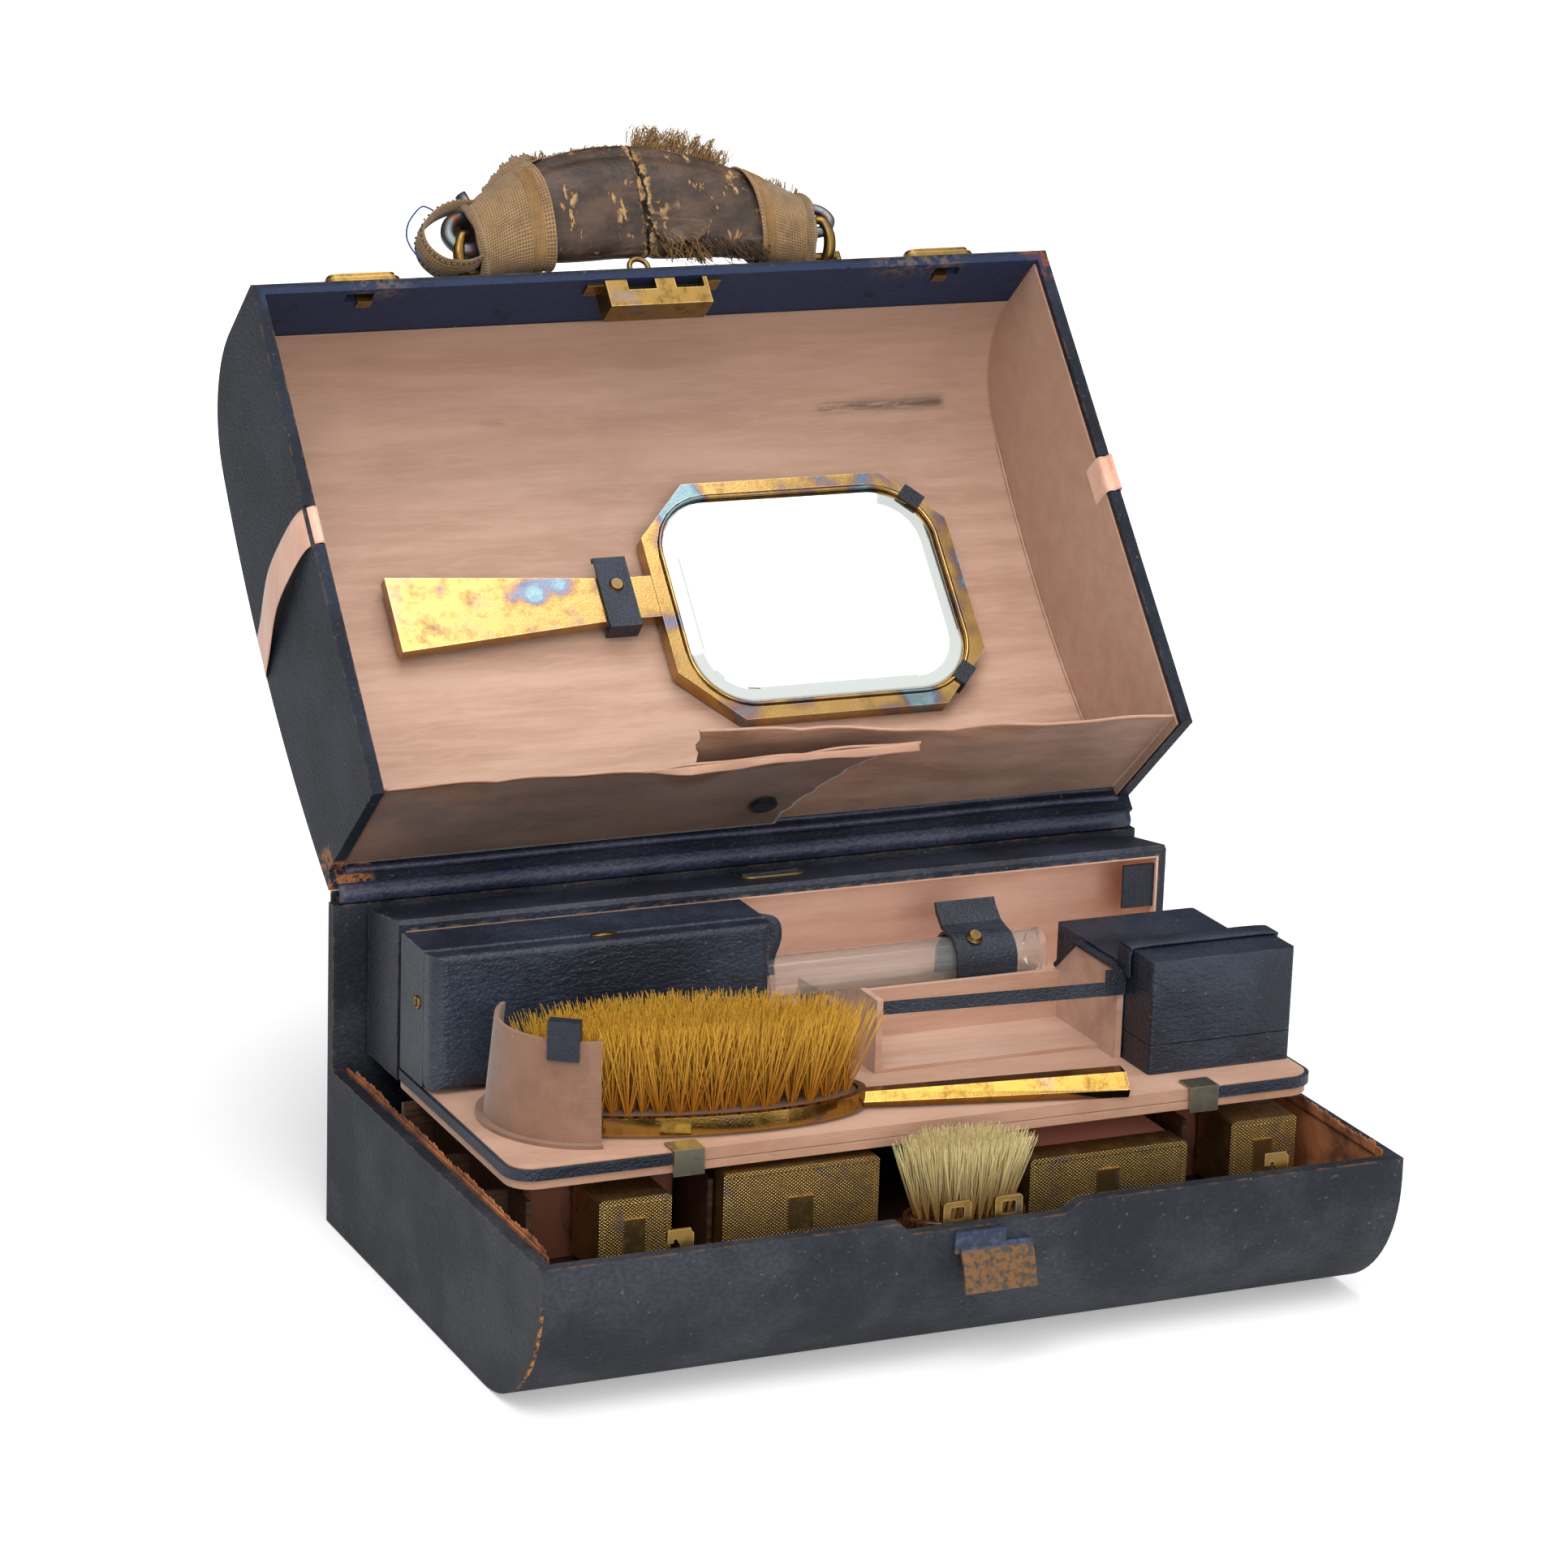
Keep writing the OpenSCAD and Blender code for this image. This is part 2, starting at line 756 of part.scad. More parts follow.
// Leather margin inside the dome beside the hinge
module hinge_margin() {
    color("#262c40")
    on_lid()
        along_x(2 * (lid_inner_half - silk_t - seat_gap))
            intersection() {
                difference() {
                    dome_profile(lid_wall + skin_gap);
                    dome_profile(lid_wall + skin_gap + 1.6);
                }
                translate([short_y - margin_w + seat_gap, hinge_h - 20])
                    square([margin_w - 2 * seat_gap, 40]);
            }
}

// Silk panel across the hinge side of the lid
module pocket() {
    color("#c7957c")
    on_lid()
        slab(
            [-lid_inner_half + silk_t + seat_gap, back_in - 3.4, rim_z + 2],
            [lid_inner_half - silk_t - seat_gap, back_in - 2.4, hinge_h - lid_wall - 2.6]);
}

module pocket_button() {
    color("#15151a")
    on_lid()
        translate([2, back_in - 2.4, hinge_h - 26])
            rotate([-90, 0, 0])
                cylinder(r = 5.5, h = 1.8, $fn = 40);
}

// Puts a piece drawn face down at the mirror's place on the dome's chord
module on_mirror() {
    y_a = mirror_y - mirror_w / 2;
    y_b = mirror_y + mirror_w / 2;
    skin_r = crown_r - lid_wall - skin_gap - silk_t;
    z_a = crown_z + sqrt(pow(skin_r, 2) - pow(y_a - crown_y, 2));
    z_b = crown_z + sqrt(pow(skin_r, 2) - pow(y_b - crown_y, 2));
    on_lid()
        translate([mirror_x, mirror_y, (z_a + z_b) / 2 - seat_gap])
            rotate([atan2(z_b - z_a, mirror_w), 0, 0])
                children();
}

module mirror_frame() {
    color("#c9a85c")
    on_mirror()
        difference() {
            union() {
                translate([0, 0, -mirror_t])
                    linear_extrude(height = mirror_t)
                        polygon(cut_rect(mirror_l, mirror_w, mirror_cut));
                translate([0, 0, -mirror_t + 0.5])
                    linear_extrude(height = mirror_t - 1)
                        polygon([
                            [-mirror_l / 2 + 4, -mirror_neck_w / 2 - neck_drop],
                            [-mirror_l / 2 - strap_in, -mirror_neck_w / 2 - neck_drop],
                            [-mirror_l / 2 - mirror_handle_l, -mirror_handle_w / 2 - neck_drop],
                            [-mirror_l / 2 - mirror_handle_l, mirror_handle_w / 2 - neck_drop],
                            [-mirror_l / 2 - strap_in, mirror_neck_w / 2 - neck_drop],
                            [-mirror_l / 2 + 4, mirror_neck_w / 2 - neck_drop]
                        ]);
            }
            translate([0, 0, -mirror_t - 1])
                linear_extrude(height = 4)
                    polygon(round_rect(-mirror_l / 2 + 8, -mirror_w / 2 + 8, mirror_l / 2 - 8, mirror_w / 2 - 8, 26));
            translate([0, 0, -mirror_t - 1])
                linear_extrude(height = 1.8)
                    polygon(round_rect(-mirror_l / 2 + 5.5, -mirror_w / 2 + 5.5, mirror_l / 2 - 5.5, mirror_w / 2 - 5.5, 28));
        }
}

module mirror_glass() {
    m = 8 + skin_gap;
    color("#dfe5e8")
    on_mirror()
        union() {
            translate([0, 0, -mirror_t + 1])
                linear_extrude(height = 1.9)
                    polygon(round_rect(-mirror_l / 2 + m, -mirror_w / 2 + m, mirror_l / 2 - m, mirror_w / 2 - m, 26 - skin_gap));
            translate([0, 0, -mirror_t + 0.4])
                linear_extrude(height = 0.7)
                    polygon(round_rect(-mirror_l / 2 + m + 6, -mirror_w / 2 + m + 6, mirror_l / 2 - m - 6, mirror_w / 2 - m - 6, 20));
        }
}

// Leather strap over the neck of the mirror, its free end past the snap
module mirror_strap() {
    y0 = -mirror_neck_w / 2 - neck_drop - 9;
    y1 = mirror_neck_w / 2 - neck_drop + 5;
    t = 1.2;
    color("#262c40")
    on_mirror()
        translate([-mirror_l / 2 - strap_in, 0, 0])
            rotate([90, 0, 90])
                linear_extrude(height = 14, center = true)
                    polygon([
                        [y1, 0], [y1 - 1, -mirror_t - t], [y0, -mirror_t - t], [y0 - 1, -mirror_t + 1.6],
                        [y0 + 1, -mirror_t + 1.8], [y0 + 1.6, -mirror_t], [y1 - t - 1, -mirror_t], [y1 - t, 0]
                    ]);
}

module mirror_snap() {
    color("#b08d4a")
    on_mirror()
        translate([-mirror_l / 2 - strap_in, -mirror_neck_w / 2 - neck_drop + 4, -mirror_t - 2.5])
            cylinder(r1 = 2.4, r2 = 3.2, h = 1.2, $fn = 32);
}

// Two leather corner tabs over the right corners of the mirror
module mirror_tabs() {
    color("#1b1e28")
    on_mirror()
        for (s = [-1, 1])
            translate([mirror_l / 2 - mirror_cut / 2, s * (mirror_w / 2 - mirror_cut / 2), 0])
                rotate([0, 0, s * 45])
                    union() {
                        slab([-5, -5, -mirror_t - 1.3], [1.8, 5, -mirror_t - 0.1]);
                        slab([0.6, -5, -mirror_t - 1.3], [1.8, 5, 0]);
                    }
}

// Satin ribbon that goes round the outside of the dome and over each side's rim
module ribbon() {
    y0 = ribbon_y - ribbon_w / 2;
    rim_w = lid_side + ribbon_t - skin_gap;
    color("#e2a890")
    on_lid()
        union() {
            difference() {
                along_x(case_w + 2 * ribbon_t)
                    intersection() {
                        translate([crown_y, crown_z])
                            circle(r = crown_r + ribbon_t, $fn = 720);
                        translate([y0, rim_z + skin_gap])
                            square([ribbon_w, hinge_h]);
                    }
                along_x(case_w + 2 * skin_gap)
                    intersection() {
                        translate([crown_y, crown_z])
                            circle(r = crown_r + skin_gap, $fn = 720);
                        translate([y0 - 1, 0])
                            square([ribbon_w + 2, hinge_h * 2]);
                    }
            }
            for (s = [-1, 1])
                translate([s * (case_w / 2 + ribbon_t - rim_w / 2), y0 + ribbon_w / 2, rim_z + skin_gap + rim_cut / 4])
                    cube([rim_w, ribbon_w, rim_cut / 2], center = true);
        }
}

// Brass lock box inside the front wall, with slots for the staples
module lock_box() {
    color("#b8954f")
    on_lid()
        difference() {
            union() {
                slab([lock_x0, front_in, rim_z + 0.6], [lock_x1, front_in + lock_d, rim_z + lock_h]);
                slab([lock_x0 - 7, front_in, rim_z + 3], [lock_x1 + 7, front_in + 1.4, rim_z + 10]);
            }
            for (x = [-lock_staple_x, lock_staple_x])
                slab([x - staple_w / 2 - 0.6, front_in - 1, rim_z - 1], [x + staple_w / 2 + 0.6, front_in + 5, rim_z + 7]);
        }
}

// Plates and staples that carry the handle
module handle_staples() {
    color("#b08d4a")
    on_lid()
        for (s = [-1, 1])
            translate([s * handle_span / 2, front_y, pivot_z])
                rotate([90, 0, 0])
                    union() {
                        linear_extrude(height = 1.6)
                            polygon(oval(12, 6.5, 40));
                        for (t = [-1, 1])
                            translate([t * 6.5, 0, 0])
                                cylinder(r = staple_r, h = pivot_out + pin_r, $fn = 32);
                        translate([-6.5, 0, pivot_out])
                            rotate([0, 90, 0])
                                cylinder(r = pin_r, h = 13, $fn = 48);
                    }
}

// Small brass ring on the middle of the lid's front
module centre_ring() {
    color("#b08d4a")
    on_lid()
        translate([-6, front_y, pivot_z - 6])
            rotate([90, 0, 0])
                union() {
                    cylinder(r = 4.5, h = 1.4, $fn = 40);
                    translate([0, 0, 5.4])
                        rotate([90, 0, 0])
                            rotate_extrude($fn = 48)
                                translate([4, 0])
                                    circle(r = 1.2, $fn = 24);
                }
}

// Puts a piece drawn about the pivot line at its place, +Y outwards from the lid
module on_handle() {
    on_lid()
        translate([0, front_y - pivot_out, pivot_z])
            rotate([180, 0, 0])
                children();
}

// Middle line of the grip: height above the pivot line at x
function grip_y(x) = 9 + grip_rise * (1 - pow(x / (handle_span / 2), 2));

// Half thickness of the grip at x
function grip_rad(x) = grip_end_r + (grip_r - grip_end_r) * pow(cos(90 * x / (handle_span / 2)), 0.8);

// Closed tube through rings of points, ends capped by fans
module ring_tube(rings) {
    n = len(rings[0]);
    m = len(rings);
    pts = [for (r = rings) for (p = r) p];
    sides = [
        for (j = [0 : m - 2]) for (i = [0 : n - 1]) for (k = [0, 1])
            k == 0
                ? [j * n + i, (j + 1) * n + i, j * n + (i + 1) % n]
                : [j * n + (i + 1) % n, (j + 1) * n + i, (j + 1) * n + (i + 1) % n]
    ];
    cap0 = [for (i = [1 : n - 2]) [0, i, i + 1]];
    cap1 = [for (i = [1 : n - 2]) [(m - 1) * n, (m - 1) * n + i + 1, (m - 1) * n + i]];
    polyhedron(points = pts, faces = concat(sides, cap0, cap1));
}

// Rings of the grip between two places, made thicker by o
function grip_rings(x0, x1, m, o, n = 20) = [
    for (j = [0 : m])
        let (x = x0 + (x1 - x0) * j / m, r = grip_rad(x) + o)
            [for (i = [0 : n - 1]) [x, grip_y(x) + r * cos(360 * i / n), 0.82 * r * sin(360 * i / n)]]
];

module handle_grip() {
    reach = handle_span / 2 - 12;
    color("#6b4a33")
    on_handle()
        ring_tube(grip_rings(-reach, reach, 24, 0));
}

// Canvas wound round each end of the grip
module handle_wraps() {
    reach = handle_span / 2 - 12;
    color("#a9824f")
    on_handle()
        for (s = [-1, 1])
            difference() {
                ring_tube(s > 0 ? grip_rings(reach - 20, reach - 0.5, 6, 1.6) : grip_rings(-reach + 0.5, -reach + 20, 6, 1.6));
                ring_tube(s > 0 ? grip_rings(reach - 22, reach + 2, 6, skin_gap) : grip_rings(-reach - 2, -reach + 22, 6, skin_gap));
            }
}

// Leather ends folded round the pins of the staples, the left one slack
module handle_ends() {
    reach = handle_span / 2 - 12;
    eye_r = pin_r + run_gap;
    eye_w = 8.8;
    mid = grip_y(reach);
    color("#9a7446")
    on_handle()
        for (s = [-1, 1])
            difference() {
                union() {
                    translate([s * handle_span / 2 - eye_w / 2, 0, 0])
                        rotate([0, 90, 0])
                            cylinder(r = 6.5, h = eye_w, $fn = 48);
                    translate([s * handle_span / 2 - eye_w / 2, 0, -5.5])
                        cube([eye_w, mid + 6, 11]);
                    slab(
                        [s > 0 ? reach + seat_gap : -handle_span / 2 - eye_w / 2, mid - 7, -6],
                        [s > 0 ? handle_span / 2 + eye_w / 2 : -reach - seat_gap, mid + 8, 6]);
                    if (s < 0)
                        translate([-handle_span / 2 - slack, 0, -7])
                            linear_extrude(height = 14)
                                polygon(round_rect(0, 5, slack, mid + 6, 6));
                }
                translate([s * handle_span / 2 - 10, 0, 0])
                    rotate([0, 90, 0])
                        cylinder(r = eye_r, h = 20, $fn = 48);
            }
}

// Domed oblong catch outside, stem through the wall, brass tongue inside
module catch_piece() {
    on_lid()
        union() {
            translate([0, front_y - seat_gap, rim_z + 6])
                rotate([90, 0, 0])
                    union() {
                        linear_extrude(height = 2.2)
                            polygon(round_rect(-catch_l / 2, -5, catch_l / 2, 5, 4.6));
                        translate([0, 0, 2.2])
                            linear_extrude(height = 2.4)
                                polygon(round_rect(-catch_l / 2 + 1.6, -3.6, catch_l / 2 - 1.6, 3.6, 3.2));
                    }
            slab([-3, front_y - seat_gap - 0.2, rim_z + 6.9], [3, front_in + seat_gap, rim_z + 8.5]);
            slab([-3, front_in + seat_gap, rim_z + 6.9], [3, front_in + seat_gap + 1.2, rim_z + 11]);
        }
}

module left_catch() {
    color("#b8954f")
    translate([-catch_x + catch_travel / 2, 0, 0])
        catch_piece();
}

module right_catch() {
    color("#b8954f")
    translate([catch_x - catch_travel / 2, 0, 0])
        catch_piece();
}

// Side profile of the upright box, its top rising to the front, moved inwards by o
module upright_profile(o) {
    y1 = upright_back - o;
    y0 = upright_front;
    low = o > 0 ? tray_z : flap_low;
    polygon([
        [y0, low], [y1, low], [y1, upright_top - 2 - o], [y1 - 2, upright_top - o],
        [y0 + 1.5, upright_top + upright_rise - o], [y0, upright_top + upright_rise - 1.5 - o]
    ]);
}

// Leather-covered upright box, open at the front
module upright_shell() {
    color("#262c40")
    difference() {
        from_to_x(upright_left, tray_right)
            upright_profile(0);
        from_to_x(upright_left + panel_t, tray_right - panel_t)
            union() {
                upright_profile(panel_t);
                translate([-0.5, 0])
                    upright_profile(panel_t);
            }
    }
}

// Pink silk on the inside of the upright box
module upright_lining() {
    x0 = upright_left + panel_t;
    x1 = tray_right - panel_t;
    color("#d9a98f")
    difference() {
        from_to_x(x0, x1)
            intersection() {
                upright_profile(panel_t);
                translate([upright_front + 0.5, 0])
                    square([upright_d, hinge_h]);
            }
        from_to_x(x0 + silk_t, x1 - silk_t)
            intersection() {
                upright_profile(panel_t + silk_t);
                translate([0, tray_z + silk_t])
                    square([case_d, hinge_h]);
            }
    }
}

// Leather tab that hangs across each end of the upright box's mouth
module upright_tabs() {
    tab_w = 14;
    tab_h = 18;
    low = upright_top + upright_rise - panel_t - silk_t - tab_h - 4;
    ends = [upright_left + panel_t + silk_t, tray_right - panel_t - silk_t - tab_w];
    color("#1f2433")
    for (x = ends)
        slab([x, upright_front + 2, low], [x + tab_w, upright_front + 3.6, low + tab_h]);
}

// Puts a piece drawn flat at its place on the sloping top of the upright box
module on_upright() {
    y = upright_front + 23;
    slope = atan2(upright_rise, upright_d - 3.5);
    translate([2, y, upright_top + (upright_back - 2 - y) * tan(slope) + skin_gap])
        rotate([-slope, 0, 0])
            children();
}

// Brass plate let onto the top of the upright box
module pull_plate() {
    color("#8f7440")
    on_upright()
        linear_extrude(height = 0.7)
            polygon(round_rect(-14, -6.5, 14, 6.5, 5));
}

// Leather pull on top of the plate
module pull_loop() {
    color("#1f2433")
    on_upright()
        translate([-1, 0, 0.7])
            rotate([90, 0, 90])
                linear_extrude(height = 24, center = true)
                    polygon([[-3.2, 0], [3.2, 0], [2.6, 0.9], [-2.6, 0.9]]);
}

module upper_board() {
    color("#d9a98f")
    post_z(tray_left + 1.6, tray_right - 1.6, tray_front + 1.6, board_back, tray_z - board_t, tray_z, 9);
}

module lower_board() {
    color("#cf9d84")
    post_z(tray_left + 1, tray_right - 1, tray_front + 1, board_back, flap_low, flap_top, 10);
}

// Navy piping round the edge of the upper board, open between the clips
module board_piping() {
    o = 1.6;
    color("#262c40")
    difference() {
        post_z(tray_left, tray_right, tray_front, board_back - 1, tray_z - board_t + 0.2, tray_z - 0.4, 10);
        post_z(tray_left + o, tray_right - o, tray_front + o, board_back + 5, tray_z - board_t - 1, tray_z + 1, 9);
        slab([clip_x0 - clip_w / 2, tray_front - 1, 0], [clip_x1 + clip_w / 2, tray_front + 5, tray_z + 1]);
        slab([tray_left + 12, tray_front + 20, 0], [tray_right - 12, board_back + 1, tray_z + 1]);
    }
}

// Brass spring clips that hold the lower board
module board_clips() {
    half = clip_w / 2 - 0.4;
    low = flap_low - skin_gap;
    high = tray_z + skin_gap;
    front = skin_gap - clip_t;
    color("#8d8265")
    for (x = [clip_x0, clip_x1])
        translate([x, tray_front, 0])
            union() {
                slab([-half, front, low - clip_t], [half, skin_gap, high + clip_t]);
                slab([-half, front, high], [half, 9, high + clip_t]);
                slab([-half, front, low - clip_t], [half, 6, low]);
            }
}

// Pink compartment with an open front, and the ledge behind it
module compartment() {
    top = comp_side_z - 1.4;
    y_slope = rear_y0 + 30;
    y2 = comp_y1 + comp_t;
    color("#d9a98f")
    union() {
        slab([comp_x0, comp_y0 + 14, tray_z], [comp_x1, y2, tray_z + 1.5]);
        slab([comp_x0, comp_y1, tray_z], [comp_x1, y2, comp_rear_z]);
        slab([comp_x0, y2 - 1, tray_z], [comp_x1, upright_front - 1, ledge_z]);
        from_to_x(comp_x0, comp_x0 + comp_t)
            polygon([[comp_y0 + 14, tray_z], [y2, tray_z], [y2, comp_rear_z], [comp_y0 + 30, top - 6], [comp_y0 + 14, top - 6]]);
        from_to_x(comp_x1 - comp_t, comp_x1)
            polygon([[comp_y0, tray_z], [y2, tray_z], [y2, comp_rear_z], [y_slope, top], [comp_y0, top]]);
    }
}

// Leather binding along the top edge of the compartment's right wall
module wall_binding() {
    top = comp_side_z - 1.4;
    y_slope = rear_y0 + 30;
    y2 = comp_y1 + comp_t;
    color("#262c40")
    from_to_x(comp_x1 - comp_t - 0.8, comp_x1)
        polygon([
            [comp_y0 - 1.4, top - 9], [comp_y0 - skin_gap, top - 9], [comp_y0 - skin_gap, top + skin_gap],
            [y_slope, top + skin_gap], [y2 - 0.6, comp_rear_z + 0.6], [y2 + 0.4, comp_rear_z + 2],
            [y_slope + 0.6, top + 1.4], [comp_y0 - 1.4, top + 1.4]
        ]);
}

// Thin strap across the compartment
module compartment_strap() {
    top = comp_side_z - 1.4;
    color("#262c40")
    union() {
        hull() {
            slab([comp_x0 + comp_t, comp_y0 + 14, top - 12], [comp_x0 + comp_t + 1, comp_y0 + 15, top - 7]);
            slab([comp_x1 - comp_t - 6, comp_y0 - 1.2, top - 9], [comp_x1 - comp_t - 5, comp_y0 - 0.2, top - 3.6]);
        }
        slab([comp_x1 - comp_t - 6, comp_y0 - 1.4, top - 9], [comp_x1 - comp_t - 0.9, comp_y0 - 0.2, top + 1.4]);
    }
}

module rear_box() {
    color("#2a3145")
    post_z(jewel_x0, jewel_x0 + jewel_w - 0.6, rear_y0, rear_y1, tray_z + seat_gap, tray_z + rear_h, 1.5);
}

module glass_tube() {
    color("#dfe4e4", 0.5)
    translate([tube_x0, tube_y, tube_z])
        rotate([0, 90, 0])
            difference() {
                cylinder(r = tube_r, h = tube_l, $fn = 64);
                translate([0, 0, 3])
                    cylinder(r = tube_r - tube_wall, h = tube_l - 6, $fn = 64);
            }
}

// Leather strap arched over the tube, with a free tongue that curls up behind
module tube_strap() {
    r0 = tube_r + 0.6;
    r1 = r0 + 1.4;
    color("#262c40")
    translate([strap_x, tube_y, 0])
        rotate([90, 0, 90])
            linear_extrude(height = strap_w, center = true)
                union() {
                    difference() {
                        union() {
                            translate([0, tube_z])
                                circle(r = r1, $fn = 64);
                            translate([-r1, ledge_z])
                                square([2 * r1, tube_z - ledge_z]);
                        }
                        translate([0, tube_z])
                            circle(r = r0, $fn = 64);
                        translate([-r0, ledge_z - 20])
                            square([2 * r0, tube_z - ledge_z + 20]);
                    }
                    polygon([
                        [-1, tube_z + r0 + 0.3], [-1, tube_z + r1 - 0.2], [5, tube_z + r1 + 1.6],
                        [10, tube_z + r1 + 6], [12, tube_z + r1 + 9], [13.2, tube_z + r1 + 8.4],
                        [11.4, tube_z + r1 + 4.6], [6, tube_z + r1 - 0.4]
                    ]);
                }
}

module tube_snap() {
    color("#b08d4a")
    translate([strap_x - 4, tube_y - 6, tube_z + tube_r + 1.2])
        rotate([35, 0, 0])
            cylinder(r1 = 3.4, r2 = 2.2, h = 1.6, $fn = 32);
}

// Half cone of cloth that holds the toe of the hairbrush
module brush_guard() {
    color("#cf9d84")
    translate([guard_x, guard_y, tray_z])
        difference() {
            union() {
                cylinder(r1 = guard_r + guard_t, r2 = guard_r + guard_t - guard_lean, h = guard_h, $fn = 120);
                cylinder(r = guard_r + guard_t + guard_flange, h = 1.4, $fn = 120);
            }
            translate([0, 0, -1])
                cylinder(r1 = guard_r, r2 = guard_r - guard_lean, h = guard_h + 2, $fn = 120);
            for (a = [-100, -40, 45])
                rotate([0, 0, a])
                    translate([0, 0, -1])
                        cube([90, 90, guard_h + 2]);
        }
}

// Leather tab folded over the top edge of the guard
module guard_tab() {
    r = guard_r - guard_lean;
    color("#15171f")
    translate([guard_x, guard_y, tray_z])
        rotate([0, 0, -124])
            union() {
                slab([r - 1.8, -6, guard_h + skin_gap], [r + guard_t + 2, 6, guard_h + 8]);
                slab([r + guard_t + 0.8, -6, guard_h - 7], [r + guard_t + 2, 6, guard_h + 1]);
            }
}

module long_box_base() {
    color("#232a40")
    difference() {
        bar_x(long_x0, long_x0 + long_l, long_y0 + long_lid_t + 0.2, long_y1, long_z0, long_z0 + long_h, 1.2);
        slab(
            [long_x0 + 3, long_y0 + long_lid_t - 1, long_z0 + 3],
            [long_x0 + long_l - 3, long_y1 - 3, long_z0 + long_h - 3]);
    }
}

module long_box_lid() {
    color("#262e47")
    difference() {
        intersection() {
            bar_x(long_x0, long_x0 + long_l, long_y0, long_y0 + long_lid_t - 0.2, long_z0 + 1.6, long_z0 + long_h, 2.4);
            post_z(long_x0, long_x0 + long_l, long_y0, long_y0 + 2 * long_lid_t, long_z0, long_z0 + long_h, 6);
        }
        slab(
            [long_x0 + 3, long_y0 + 3, long_z0 + 4.6],
            [long_x0 + long_l - 3, long_y0 + long_lid_t + 1, long_z0 + long_h - 3]);
    }
}

module jewel_base() {
    color("#232a40")
    difference() {
        post_z(jewel_x0, jewel_x0 + jewel_w, jewel_y0, jewel_y1, jewel_z0, jewel_z0 + jewel_base_h, 1.6);
        slab(
            [jewel_x0 + 3, jewel_y0 + 3, jewel_z0 + 3],
            [jewel_x0 + jewel_w - 3, jewel_y1 - 3, jewel_z0 + jewel_base_h + 1]);
    }
}

module jewel_lid() {
    z0 = jewel_z0 + jewel_base_h + 0.4;
    color("#243454")
    difference() {
        post_z(jewel_x0, jewel_x0 + jewel_w, jewel_y0, jewel_y1, z0, jewel_top, 1.6);
        slab(
            [jewel_x0 + 3, jewel_y0 + 3, z0 - 1],
            [jewel_x0 + jewel_w - 3, jewel_y1 - 3, jewel_top - 3]);
    }
}

// Puts a piece drawn about the middle of the head at the brush's place
module on_brush() {
    translate([head_x, head_y, head_z])
        rotate([0, 0, brush_turn])
            children();
}

// Gilt head with a bevelled edge, neck and wedge-shaped ridged handle
module hairbrush_body() {
    x0 = head_a - 4;
    x1 = head_a + brush_handle_l;
    color("#caa24a")
    on_brush()
        difference() {
            union() {
                translate([0, 0, 1.4])
                    linear_extrude(height = head_t - 1.4)
                        polygon(oval(head_a, head_b, 64));
                linear_extrude(height = 2)
                    polygon(oval(head_a - 2, head_b - 2, 64));
                hull() {
                    translate([x0, 0, 0])
                        rotate([90, 0, 90])
                            linear_extrude(height = 1)
                                polygon([[-4.4, 0.8], [4.4, 0.8], [5.6, 3], [2.4, head_t - 2], [-2.4, head_t - 2], [-5.6, 3]]);
                    translate([x1 - 1, 0, 0])
                        rotate([90, 0, 90])
                            linear_extrude(height = 1)
                                polygon([[-8.4, 0], [8.4, 0], [9.8, 3.4], [3.6, head_t + 0.6], [-3.6, head_t + 0.6], [-9.8, 3.4]]);
                }
            }
            translate([0, 0, head_t - 2])
                linear_extrude(height = 6)
                    polygon(oval(head_a - 3, head_b - 3, 64));
        }
}

module hairbrush_bristles() {
    color("#d9a13c")
    on_brush()
        translate([0, 0, head_t - 2 + skin_gap])
            union() {
                linear_extrude(height = 1.8)
                    polygon(oval(head_a - 3.3, head_b - 3.3, 40));
                bristle_field(tufts, head_a - 6, head_b - 5.5, head_a + tip_spread, head_b + tip_spread + 0.5, 1, bristle_l, 3, 1.1, 0.6);
            }
}

base_shell();
base_lining();
partitions();
side_hooks();
lock_staples();
front_tab();
hinge_leather();
left_bottle();
right_bottle();
jar_body();
powder_box();
left_cap();
right_cap();
jar_lid();
powder_lid();
small_brush_back();
small_brush_bristles();
lid_shell();
lid_lining();
hinge_margin();
pocket();
pocket_button();
mirror_frame();
mirror_glass();
mirror_strap();
mirror_snap();
mirror_tabs();
ribbon();
lock_box();
handle_staples();
centre_ring();
handle_grip();
handle_wraps();
handle_ends();
left_catch();
right_catch();
upright_shell();
upright_lining();
upright_tabs();
pull_plate();
pull_loop();
upper_board();
board_piping();
lower_board();
board_clips();
compartment();
wall_binding();
compartment_strap();
rear_box();
glass_tube();
tube_strap();
tube_snap();
brush_guard();
guard_tab();
long_box_base();
long_box_lid();
jewel_base();
jewel_lid();
hairbrush_body();
hairbrush_bristles();
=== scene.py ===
"""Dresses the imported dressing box: materials, soft goods, bristles, light and camera.

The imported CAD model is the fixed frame. Sizes are in millimetres and are turned into metres where a
mesh is made. Places on the lid are written for the closed lid and turned open by the Lid class.
"""

import json
import logging
import math
from dataclasses import dataclass
from enum import Enum

import bpy
import numpy as np
from mathutils import Matrix, Vector


